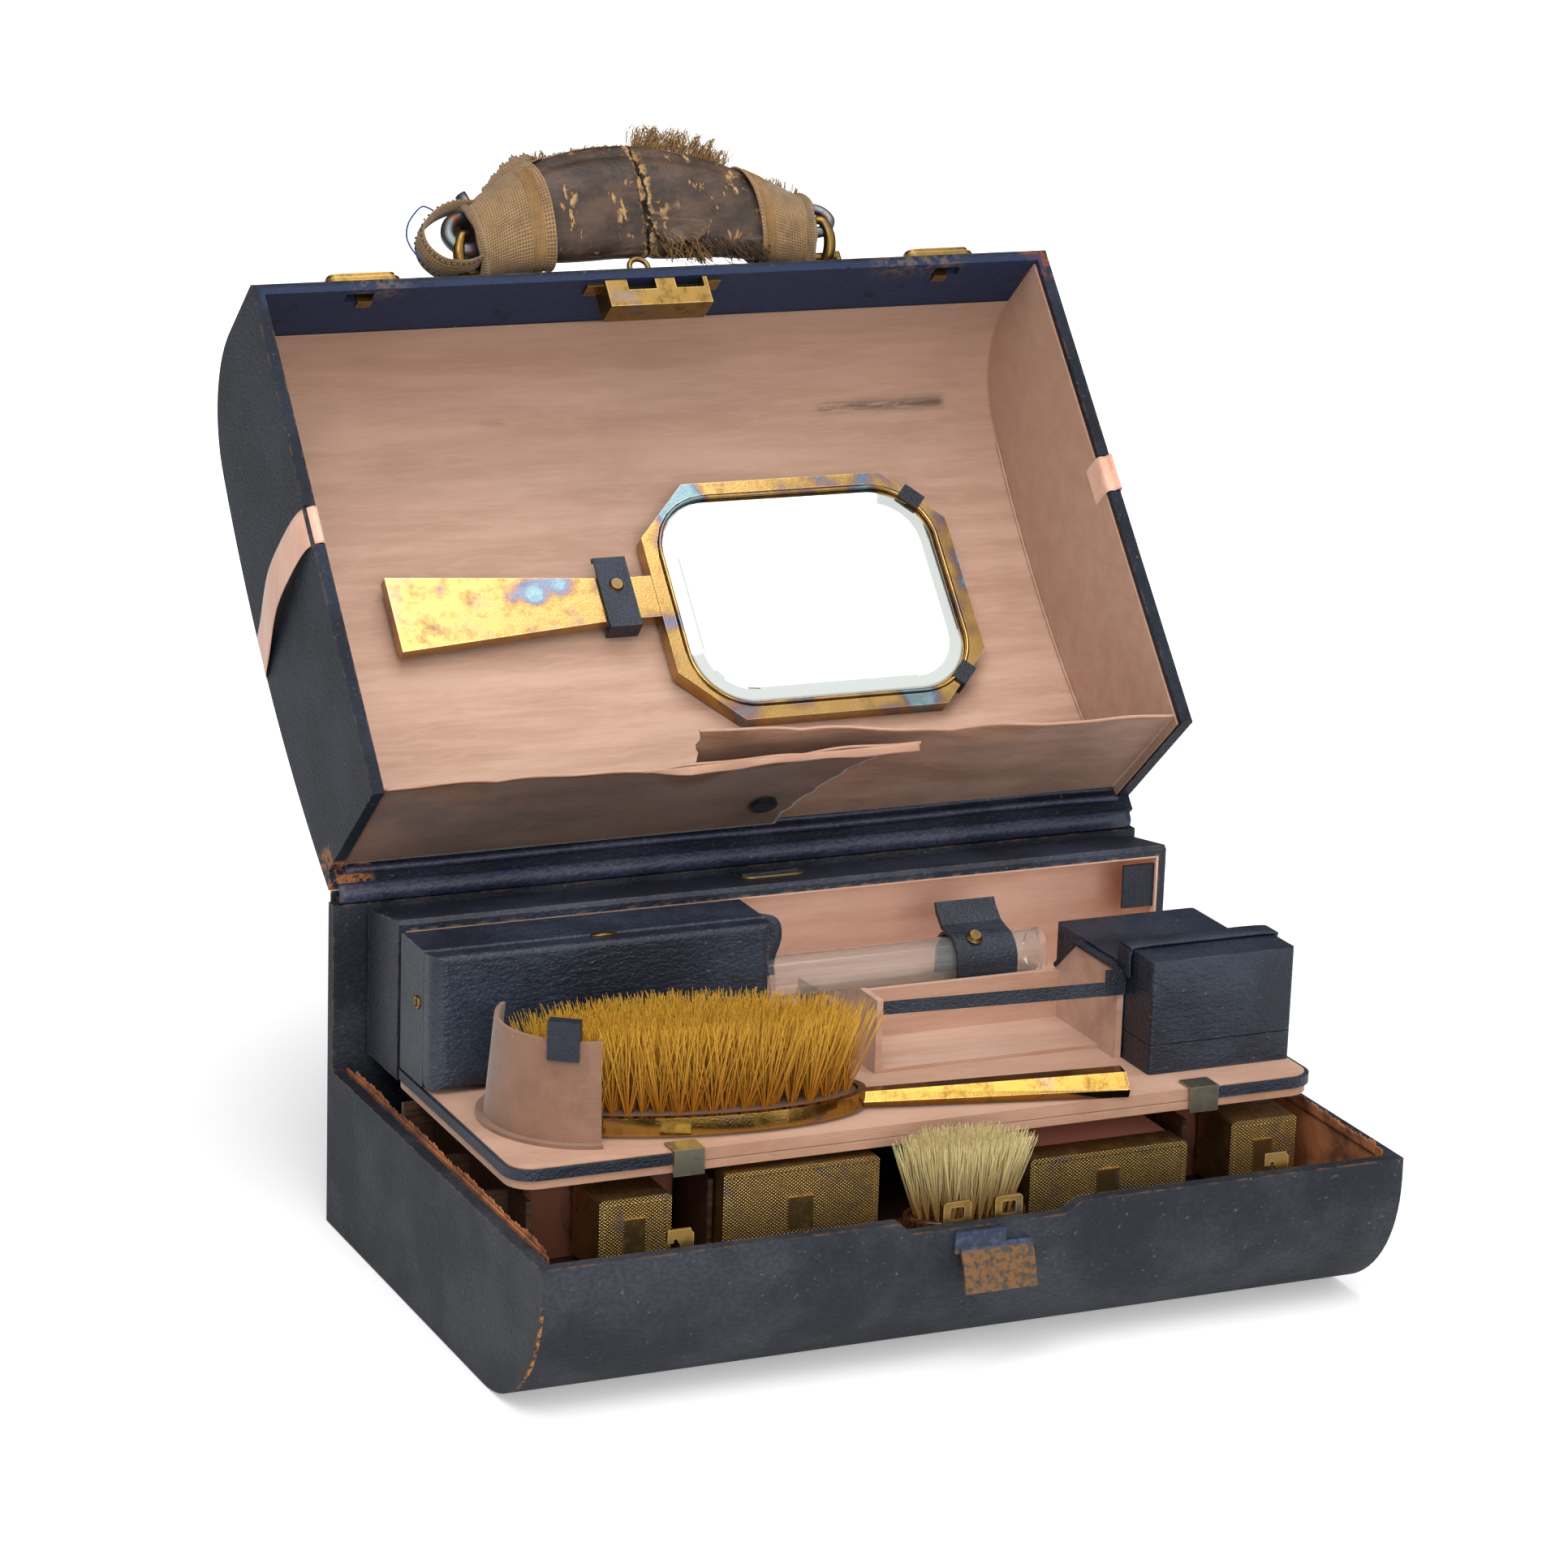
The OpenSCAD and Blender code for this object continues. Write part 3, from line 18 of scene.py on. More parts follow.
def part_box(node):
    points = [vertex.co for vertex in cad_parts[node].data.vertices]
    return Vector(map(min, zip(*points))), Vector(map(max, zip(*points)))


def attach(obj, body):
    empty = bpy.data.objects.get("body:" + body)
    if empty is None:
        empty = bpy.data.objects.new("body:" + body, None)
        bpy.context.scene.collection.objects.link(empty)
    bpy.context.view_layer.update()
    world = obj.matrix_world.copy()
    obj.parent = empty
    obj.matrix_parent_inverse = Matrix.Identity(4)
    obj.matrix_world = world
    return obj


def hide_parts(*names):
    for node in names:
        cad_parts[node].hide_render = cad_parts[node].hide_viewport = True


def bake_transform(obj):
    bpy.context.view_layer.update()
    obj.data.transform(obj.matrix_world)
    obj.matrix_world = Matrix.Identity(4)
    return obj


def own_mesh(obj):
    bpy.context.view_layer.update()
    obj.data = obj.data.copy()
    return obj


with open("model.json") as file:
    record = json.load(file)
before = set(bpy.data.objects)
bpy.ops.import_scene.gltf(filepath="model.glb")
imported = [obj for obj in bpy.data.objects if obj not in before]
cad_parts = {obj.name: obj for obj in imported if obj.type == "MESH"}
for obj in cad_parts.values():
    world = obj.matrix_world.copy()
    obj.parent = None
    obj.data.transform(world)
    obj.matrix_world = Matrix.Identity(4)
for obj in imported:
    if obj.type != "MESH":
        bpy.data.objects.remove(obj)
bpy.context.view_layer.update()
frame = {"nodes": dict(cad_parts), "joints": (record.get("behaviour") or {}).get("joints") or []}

log = logging.getLogger("dressing_box")

MM = 0.001
# The outer face of the front wall, and the hairbrush's turn on the tray in degrees
CASE_FRONT = -115.0
BRUSH_TURN = -9.4
# The turn from one tuft to the next that leaves no rows
GOLDEN_ANGLE = math.radians(137.508)
# The way out of the open lid's front wall
LID_OUTWARD = (0.0, -0.749, 0.663)
# Depth of the mirror's middle on the closed lid
MIRROR_Y = 3.0
# Width of one band of the wave texture at scale 1
WAVE_BAND = 0.314
Socket = bpy.types.NodeSocket
Links = dict[str, object]


class Body(str, Enum):
    """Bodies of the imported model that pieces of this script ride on."""

    CASE = "case"
    LID = "lid"
    HANDLE = "handle"
    TRAY = "tray"
    LONG_LID = "long_lid"
    JEWEL_TOP = "jewel_top"
    HAIRBRUSH = "hairbrush"


def unit_hash(n: int, seed: int) -> np.ndarray:
    """Returns n evenly spread numbers from 0 to 1, from the fixed series that the seed picks."""
    return np.random.default_rng(seed).random(n)


def node_box(node: str) -> tuple[np.ndarray, np.ndarray]:
    """Returns the lowest and highest corner of a CAD node in millimetres."""
    low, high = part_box(node)
    return np.array(low) / MM, np.array(high) / MM


# Places on the lid

@dataclass(frozen=True)
class Lid:
    """The domed lid: its hinge, its open angle and its profile."""

    hinge_y: float
    hinge_z: float
    angle: float
    crown_r: float = 500.0
    crown_y: float = -5.0

    def turned(self, points: np.ndarray) -> np.ndarray:
        """Returns points of the closed lid at their places on the open lid.

        Args:
            points: Places of the closed lid, in millimetres.

        Returns:
            Places on the open lid, in millimetres.
        """
        c, s = math.cos(self.angle), math.sin(self.angle)
        p = np.asarray(points, float)
        dy, dz = p[..., 1] - self.hinge_y, p[..., 2] - self.hinge_z
        return np.stack(
            [p[..., 0], self.hinge_y + dy * c + dz * s, self.hinge_z - dy * s + dz * c], axis=-1
        )

    def direction(self, axis: int) -> np.ndarray:
        """Returns one axis of the closed lid, by its number, as it lies on the open one."""
        return self.turned(np.eye(3)[axis]) - self.turned(np.zeros(3))

    @property
    def crown_z(self) -> float:
        """Height of the dome's centre of curvature."""
        return self.hinge_z - math.sqrt(self.crown_r**2 - (self.hinge_y - self.crown_y) ** 2)

    def skin_z(self, y: np.ndarray, inset: float) -> np.ndarray:
        """Returns the height of the closed dome's skin at depth y, inset millimetres inwards."""
        return self.crown_z + np.sqrt((self.crown_r - inset) ** 2 - (y - self.crown_y) ** 2)


def find_lid() -> Lid:
    """Reads the hinge of the lid from the frame's joints.

    Returns:
        The lid, with its hinge and its open angle.
    """
    joint = next(j for j in frame["joints"] if j["name"] == "lid_hinge")
    _, y, z = joint["pos_m"]
    return Lid(y / MM, z / MM, math.radians(-joint["range_deg"][0]))


LID = find_lid()


# Meshes

def new_mesh(name: str, points: np.ndarray, faces: np.ndarray | list, smooth: bool = True) -> bpy.types.Object:
    """Makes an object from points in millimetres.

    Args:
        name: Name of the object.
        points: One row of three numbers for each vertex.
        faces: Vertex numbers of each face.
        smooth: Whether the faces are shaded smooth.

    Returns:
        The object, linked to the scene.
    """
    mesh = bpy.data.meshes.new(name)
    rows = faces.tolist() if isinstance(faces, np.ndarray) else faces
    mesh.from_pydata((np.asarray(points, float).reshape(-1, 3) * MM).tolist(), [], rows)
    mesh.polygons.foreach_set("use_smooth", [smooth] * len(mesh.polygons))
    mesh.update()
    obj = bpy.data.objects.new(name, mesh)
    bpy.context.scene.collection.objects.link(obj)
    return obj


def quads(rows: int, cols: int, closed: bool = False) -> np.ndarray:
    """Returns the faces of a grid of points.

    Args:
        rows: Number of rows.
        cols: Number of points in a row.
        closed: Whether each row joins up with itself.

    Returns:
        One row of four vertex numbers for each face.
    """
    i = np.arange(rows - 1)[:, None] * cols
    j = np.arange(cols if closed else cols - 1)[None, :]
    k = (j + 1) % cols
    return np.stack([i + j, i + k, i + cols + k, i + cols + j], axis=-1).reshape(-1, 4)


def full_turn(count: int) -> np.ndarray:
    """Returns evenly spaced angles once round, in radians."""
    return np.linspace(0, 2 * math.pi, count, endpoint=False)


def grid_of(x: np.ndarray | float, y: np.ndarray | float, z: np.ndarray | float) -> np.ndarray:
    """Returns the grid of points with the given coordinates, each stretched to the size of the grid."""
    return np.stack(np.broadcast_arrays(x, y, z), axis=-1)


def side_name(side: int) -> str:
    """Returns the word for a side: -1 is left and 1 is right."""
    return "left" if side < 0 else "right"


def set_uv(obj: bpy.types.Object, values: np.ndarray) -> None:
    """Gives every vertex a place in the pattern, in millimetres.

    Args:
        obj: The piece.
        values: Two numbers for each vertex.
    """
    layer = obj.data.uv_layers.new(name="pattern")
    loops = np.zeros(len(obj.data.loops), np.int32)
    obj.data.loops.foreach_get("vertex_index", loops)
    layer.data.foreach_set("uv", np.asarray(values, float)[loops].ravel())


def solid(obj: bpy.types.Object, thickness: float) -> None:
    """Gives a surface a thickness in millimetres."""
    change = obj.modifiers.new("thickness", "SOLIDIFY")
    change.thickness, change.offset = thickness * MM, 0.0


def surface(name: str, points: np.ndarray, thickness: float = 0.0) -> bpy.types.Object:
    """Makes an open sheet from a grid of points, with its pattern laid out along the sheet.

    Args:
        name: Name of the object.
        points: Grid of rows, columns and three numbers, in millimetres.
        thickness: Thickness of the sheet.

    Returns:
        The sheet.
    """
    rows, cols, _ = points.shape
    obj = new_mesh(name, points, quads(rows, cols))
    run_v = np.pad(np.cumsum(np.linalg.norm(np.diff(points, axis=0), axis=-1), axis=0), ((1, 0), (0, 0)))
    run_u = np.pad(np.cumsum(np.linalg.norm(np.diff(points, axis=1), axis=-1), axis=1), ((0, 0), (1, 0)))
    set_uv(obj, np.stack([run_u, run_v], axis=-1).reshape(-1, 2))
    if thickness:
        solid(obj, thickness)
    return obj


def curve_points(points: list, count: int) -> np.ndarray:
    """Returns evenly numbered points of a smooth curve through a few given ones.

    Args:
        points: The given points, in millimetres.
        count: How many points to return.

    Returns:
        One row of three numbers for each point.
    """
    p = np.asarray(points, float)
    p = np.vstack([2 * p[0] - p[1], p, 2 * p[-1] - p[-2]])
    t = np.linspace(0, len(points) - 1 - 1e-6, count)
    k, f = t.astype(int), (t % 1)[:, None]
    a, b, c, d = p[k], p[k + 1], p[k + 2], p[k + 3]
    return 0.5 * (2 * b + (c - a) * f + (2 * a - 5 * b + 4 * c - d) * f**2 + (3 * b - a - 3 * c + d) * f**3)


def sweep(name: str, path: np.ndarray, section: np.ndarray, scale: np.ndarray | float = 1.0,
          up: tuple = (0.0, 0.0, 1.0), closed: bool = False) -> bpy.types.Object:
    """Draws a closed section along a path.

    Args:
        name: Name of the object.
        path: Points of the path, in millimetres.
        section: Points of the section, as sideways and upward distances.
        scale: Size of the section at each point of the path.
        up: Direction that the section's second axis keeps close to.
        closed: Whether the path is a ring.

    Returns:
        The swept object.
    """
    ahead = np.roll(path, -1, axis=0) - np.roll(path, 1, axis=0) if closed else np.gradient(path, axis=0)
    ahead /= np.linalg.norm(ahead, axis=1, keepdims=True)
    side = np.cross(ahead, np.asarray(up, float))
    side /= np.linalg.norm(side, axis=1, keepdims=True)
    rise = np.cross(side, ahead)
    size = np.broadcast_to(np.asarray(scale, float), (len(path),))[:, None, None]
    rings = path[:, None] + size * (side[:, None] * section[None, :, :1] + rise[:, None] * section[None, :, 1:])
    rows, cols = len(path), len(section)
    if closed:
        rings = np.concatenate([rings, rings[:1]])
        rows += 1
    faces = quads(rows, cols, closed=True).tolist()
    if not closed:
        faces += [list(range(cols))[::-1], list(range((rows - 1) * cols, rows * cols))]
    obj = new_mesh(name, rings, faces)
    run = np.cumsum(np.r_[0, np.linalg.norm(np.diff(rings[:, 0], axis=0), axis=1)])
    across = np.linspace(0, 1, cols) * np.linalg.norm(np.diff(section, axis=0), axis=1).sum()
    set_uv(obj, np.stack(np.broadcast_arrays(run[:, None], across[None, :]), axis=-1).reshape(-1, 2))
    return obj


def round_section(radius: float, sides: int = 10) -> np.ndarray:
    """Returns a round section with the given radius and number of points."""
    a = full_turn(sides)
    return radius * np.stack([np.cos(a), np.sin(a)], axis=-1)


def flat_section(width: float, thickness: float) -> np.ndarray:
    """Returns the section of a strap with softened edges.

    Args:
        width: Its width.
        thickness: Its thickness.

    Returns:
        Six points, as sideways and upward distances.
    """
    w, t = width / 2, thickness / 2
    e = min(t, w) * 0.7
    return np.array([[-w + e, -t], [w - e, -t], [w, 0], [w - e, t], [-w + e, t], [-w, 0]])


def ring_of(name: str, centre: np.ndarray, radius: float, wire: float, axis: tuple) -> bpy.types.Object:
    """Makes a ring of wire.

    Args:
        name: Name of the object.
        centre: Its middle, in millimetres.
        radius: Radius of the wire's middle line.
        wire: Radius of the wire.
        axis: Direction that the ring faces.

    Returns:
        The ring.
    """
    a = full_turn(40)
    u = np.cross(axis, (0.3, 0.9, 0.1))
    u /= np.linalg.norm(u)
    v = np.cross(axis, u)
    v /= np.linalg.norm(v)
    path = np.asarray(centre, float) + radius * (np.cos(a)[:, None] * u + np.sin(a)[:, None] * v)
    return sweep(name, path, round_section(wire, 8), up=axis, closed=True)


def strands(name: str, roots: np.ndarray, tips: np.ndarray, radius: float, tip_radius: float,
            bend: float, seed: int) -> bpy.types.Object:
    """Makes many thin three-sided hairs in one mesh, with their share of the way up kept as an attribute.

    Args:
        name: Name of the object.
        roots: Where each hair starts.
        tips: Where each hair ends.
        radius: Radius at the root.
        tip_radius: Radius at the tip.
        bend: How far the middle of a hair strays.
        seed: Picks the fixed series of strays.

    Returns:
        The object that holds all the hairs.
    """
    n, rings = len(roots), 5
    t = np.linspace(0, 1, rings)
    stray = (np.stack([unit_hash(n, seed), unit_hash(n, seed + 1), unit_hash(n, seed + 2)], -1) - 0.5) * 2 * bend
    line = roots[:, None] + (tips - roots)[:, None] * t[None, :, None]
    line += stray[:, None] * (4 * t * (1 - t) * (0.4 + t))[None, :, None]
    along = tips - roots
    along /= np.linalg.norm(along, axis=1, keepdims=True)
    u = np.cross(along, (0.37, 0.81, 0.44))
    u /= np.linalg.norm(u, axis=1, keepdims=True)
    v = np.cross(along, u)
    a = 2 * math.pi * (np.arange(3)[None, :] / 3 + unit_hash(n, seed + 3)[:, None])
    out = np.cos(a)[..., None] * u[:, None] + np.sin(a)[..., None] * v[:, None]
    size = radius + (tip_radius - radius) * t**1.5
    points = line[:, :, None] + size[None, :, None, None] * out[:, None]
    base = np.arange(n)[:, None, None] * rings * 3
    one = quads(rings, 3, closed=True)
    obj = new_mesh(name, points, (base + one[None]).reshape(-1, 4))
    value = np.broadcast_to(t[None, :, None], (n, rings, 3)).ravel()
    tint = np.broadcast_to(unit_hash(n, seed + 4)[:, None, None], (n, rings, 3)).ravel()
    for key, data in (("along", value), ("tint", tint)):
        obj.data.attributes.new(key, "FLOAT", "POINT").data.foreach_set("value", data.astype(np.float32))
    return obj


# Materials

def srgb(text: str) -> tuple[float, float, float, float]:
    """Returns the linear colour of a six-digit sRGB text.

    Args:
        text: Six hexadecimal digits.

    Returns:
        Red, green, blue and an alpha of 1.
    """
    raw = np.array([int(text[i:i + 2], 16) for i in (0, 2, 4)]) / 255
    linear = np.where(raw <= 0.04045, raw / 12.92, ((raw + 0.055) / 1.055) ** 2.4)
    return (*linear.tolist(), 1.0)


class Shader:
    """A material under construction, with short calls for the nodes that it needs."""

    def __init__(self, name: str) -> None:
        """Starts an empty material.

        Args:
            name: Name of the material.
        """
        self.material = bpy.data.materials.new(name)
        self.material.use_nodes = True
        self.tree = self.material.node_tree
        self.tree.nodes.clear()
        self.object_mm = self.math_vector("SCALE", self.add("ShaderNodeTexCoord").outputs["Object"], 1 / MM)
        self.uv_mm = self.add("ShaderNodeUVMap", uv_map="pattern").outputs["UV"]

    def add(self, kind: str, inputs: Links | None = None, **settings: object) -> bpy.types.Node:
        """Adds a node, sets it and links it.

        Args:
            kind: Type of the node.
            inputs: Values and sockets by the name or number of the input.
            **settings: Attributes of the node.

        Returns:
            The node.
        """
        node = self.tree.nodes.new(kind)
        for key, value in settings.items():
            setattr(node, key, value)
        for key, value in (inputs or {}).items():
            if isinstance(value, Socket):
                self.tree.links.new(value, node.inputs[key])
            else:
                node.inputs[key].default_value = value
        return node

    def math(self, operation: str, a: Socket | float, b: Socket | float = 0.0, clamp: bool = False) -> Socket:
        """Adds a math node and returns its result."""
        return self.add("ShaderNodeMath", {0: a, 1: b}, operation=operation, use_clamp=clamp).outputs[0]

    def times(self, a: Socket | float, b: Socket | float) -> Socket:
        """Returns the product of two values."""
        return self.math("MULTIPLY", a, b)

    def plus(self, a: Socket | float, b: Socket | float) -> Socket:
        """Returns the sum of two values."""
        return self.math("ADD", a, b)

    def rest(self, share: Socket) -> Socket:
        """Returns what is left of 1."""
        return self.math("SUBTRACT", 1.0, share)

    def axes(self, at: Socket) -> bpy.types.bpy_prop_collection:
        """Returns the three coordinates of a place."""
        return self.add("ShaderNodeSeparateXYZ", {0: at}).outputs

    def math_vector(self, operation: str, a: Socket, b: float | tuple) -> Socket:
        """Adds a vector math node and returns its result."""
        key = "Scale" if operation == "SCALE" else 1
        return self.add("ShaderNodeVectorMath", {0: a, key: b}, operation=operation).outputs[0]

    def stretched(self, at: Socket, scale: tuple[float, float, float], turn: float = 0.0) -> Socket:
        """Scales the three axes of a place after a turn about the third."""
        return self.add(
            "ShaderNodeMapping", {"Vector": at, "Scale": scale, "Rotation": (0.0, 0.0, turn)}
        ).outputs[0]

    def noise(self, at: Socket, size: float, detail: float = 3.0, rough: float = 0.55) -> Socket:
        """Returns soft noise whose blotches are about size millimetres."""
        return self.add(
            "ShaderNodeTexNoise", {"Vector": at, "Scale": 1 / size, "Detail": detail, "Roughness": rough}
        ).outputs["Fac"]

    def cells(self, at: Socket, size: float, feature: str = "F1") -> Socket:
        """Returns the distance field of cells about size millimetres wide."""
        return self.add(
            "ShaderNodeTexVoronoi", {"Vector": at, "Scale": 1 / size}, feature=feature
        ).outputs["Distance"]

    def waves(self, at: Socket, pitch: float, axis: str = "X", stray: float = 0.0) -> Socket:
        """Returns even bands of the given pitch in millimetres."""
        return self.add(
            "ShaderNodeTexWave", {"Vector": at, "Scale": WAVE_BAND / pitch, "Distortion": stray, "Detail": 1.0},
            bands_direction=axis,
        ).outputs["Fac"]

    def step(self, value: Socket, low: float, high: float) -> Socket:
        """Returns a smooth rise from 0 at low to 1 at high."""
        return self.add(
            "ShaderNodeMapRange", {"Value": value, "From Min": low, "From Max": high},
            interpolation_type="SMOOTHSTEP",
        ).outputs[0]

    def mix(self, share: Socket | float, a: Socket | str, b: Socket | str) -> Socket:
        """Mixes two colours, each a socket or an sRGB text."""
        a, b = (srgb(colour) if isinstance(colour, str) else colour for colour in (a, b))
        return self.add("ShaderNodeMix", {0: share, 6: a, 7: b}, data_type="RGBA").outputs[2]

    def tint(self, colour: Socket, over: str, share: Socket, most: float) -> Socket:
        """Lays an sRGB colour over another one, as strongly as share times most."""
        return self.mix(self.times(share, most), colour, over)

    def edge(self, reach: float) -> Socket:
        """Returns 1 at sharp edges and 0 on flat faces.

        Args:
            reach: How far the edge counts, in millimetres.

        Returns:
            A value from 0 to 1.
        """
        bent = self.add("ShaderNodeBevel", {"Radius": reach * MM}, samples=4).outputs[0]
        plain = self.add("ShaderNodeNewGeometry").outputs["Normal"]
        alike = self.add("ShaderNodeVectorMath", {0: bent, 1: plain}, operation="DOT_PRODUCT").outputs["Value"]
        return self.step(self.rest(alike), 0.02, 0.22)

    def lid_place(self) -> Socket:
        """Returns the place on the closed lid, in millimetres.

        Returns:
            The place.
        """
        at = self.math_vector("SUBTRACT", self.object_mm, (0.0, LID.hinge_y, LID.hinge_z))
        turn = self.add(
            "ShaderNodeVectorRotate", {"Vector": at, "Angle": LID.angle}, rotation_type="X_AXIS"
        ).outputs[0]
        return self.math_vector("ADD", turn, (0.0, LID.hinge_y, LID.hinge_z))

    def patch(self, at: Socket, low: tuple, high: tuple, soft: float) -> Socket:
        """Returns 1 inside a box of places and 0 outside, with soft sides.

        Args:
            at: Place in millimetres.
            low: Lowest corner of the box, with None for an axis that it leaves open.
            high: Highest corner of the box.
            soft: Half the width of the soft sides.

        Returns:
            A value from 0 to 1.
        """
        parts = self.axes(at)
        total: Socket | None = None
        for part, a, b in zip(parts, low, high):
            if a is None:
                continue
            inside = self.times(self.step(part, a - soft, a + soft), self.rest(self.step(part, b - soft, b + soft)))
            total = inside if total is None else self.times(total, inside)
        return total

    def finish(self, colour: Socket | tuple, rough: Socket | float, bump: Socket | None = None,
               bump_mm: float = 0.1, **more: object) -> bpy.types.Material:
        """Closes the material with a surface.

        Args:
            colour: Base colour.
            rough: Roughness.
            bump: Height of the surface's relief.
            bump_mm: How deep the relief is.
            **more: Other inputs of the surface, with their spaces as underscores.

        Returns:
            The material.
        """
        inputs: Links = {"Base Color": colour, "Roughness": rough}
        inputs.update({key.replace("_", " "): value for key, value in more.items()})
        if bump is not None:
            inputs["Normal"] = self.add("ShaderNodeBump", {"Height": bump, "Distance": bump_mm * MM}).outputs[0]
        surface_node = self.add("ShaderNodeBsdfPrincipled", inputs)
        self.add("ShaderNodeOutputMaterial", {"Surface": surface_node.outputs[0]})
        return self.material


@dataclass(frozen=True)
class Scuff:
    """A worn place: the box that it lies in, the size of its flakes and its colour."""

    low: tuple
    high: tuple
    colour: str
    soft: float = 2.0
    size: float = 5.0
    on_lid: bool = False
    share: float = 0.85
    least: float = 0.46

    def over(self, s: Shader, colour: Socket) -> Socket:
        """Returns the colour with the worn place over it.

        Args:
            s: The material under construction.
            colour: The colour so far.

        Returns:
            The colour.
        """
        at = s.lid_place() if self.on_lid else s.object_mm
        flakes = s.step(s.noise(s.object_mm, self.size, 6.0, 0.7), self.least, self.least + 0.1)
        share = s.times(s.patch(at, self.low, self.high, self.soft), flakes)
        return s.tint(colour, self.colour, share, self.share)


@dataclass(frozen=True)
class Leather:
    """Grained dressing-case leather, faded in patches and rubbed brown along its edges."""

    name: str
    base: str = "1d2539"
    faded: str = "2b3347"
    rubbed: str = "7a5638"
    grain: float = 1.5
    wear: float = 0.6
    specks: float = 0.5
    rough: float = 0.46
    shine: float = 0.42
    crease: float = 0.3
    scuffs: tuple[Scuff, ...] = ()

    def make(self) -> bpy.types.Material:
        """Returns the material.

        Returns:
            The material.
        """
        s = Shader(self.name)
        at = s.object_mm
        grain = s.cells(s.stretched(at, (0.7, 1.0, 1.0)), self.grain)
        crush = s.noise(s.stretched(at, (0.35, 1.0, 1.2)), 2.4, 4.0, 0.62)
        fine = s.noise(at, 0.5, 2.0)
        fade = s.step(s.noise(at, 38.0, 5.0), 0.38, 0.66)
        colour = s.mix(fade, self.base, self.faded)
        colour = s.tint(colour, "0c0f18", s.step(grain, 0.35, 0.75), 0.35)
        speck = s.times(s.step(s.noise(at, 2.2, 4.0, 0.7), 0.63, 0.72), self.specks)
        colour = s.mix(speck, colour, "77736c")
        rub = s.times(s.edge(1.6), s.step(s.noise(at, 7.0, 5.0, 0.7), 0.46, 0.62))
        colour = s.tint(colour, self.rubbed, rub, self.wear)
        for scuff in self.scuffs:
            colour = scuff.over(s, colour)
        rough = s.plus(s.times(fine, 0.16), self.rough - 0.06)
        height = s.plus(s.times(grain, -0.7), s.times(fine, 0.3))
        height = s.plus(height, s.times(crush, 2.4 * self.crease))
        return s.finish(colour, rough, height, 0.3, Specular_IOR_Level=self.shine)


def leather_tab(name: str, fold_z: float) -> bpy.types.Material:
    """Returns the front tab's leather: navy and sewn above, worn to ochre below its fold.

    Args:
        name: Name of the material.
        fold_z: Height of the fold.

    Returns:
        The material.
    """
    s = Shader(name)
    at = s.object_mm
    height = s.axes(at)[2]
    below = s.rest(s.step(height, fold_z - 0.6, fold_z + 0.8))
    worn = s.mix(s.step(s.noise(at, 2.6, 5.0, 0.7), 0.42, 0.6), "6a4417", "302a1f")
    navy = s.mix(s.step(s.noise(at, 3.0, 4.0), 0.45, 0.7), "1a2438", "34405a")
    return s.finish(s.mix(below, navy, worn), 0.6, s.noise(at, 0.8, 4.0), 0.35)


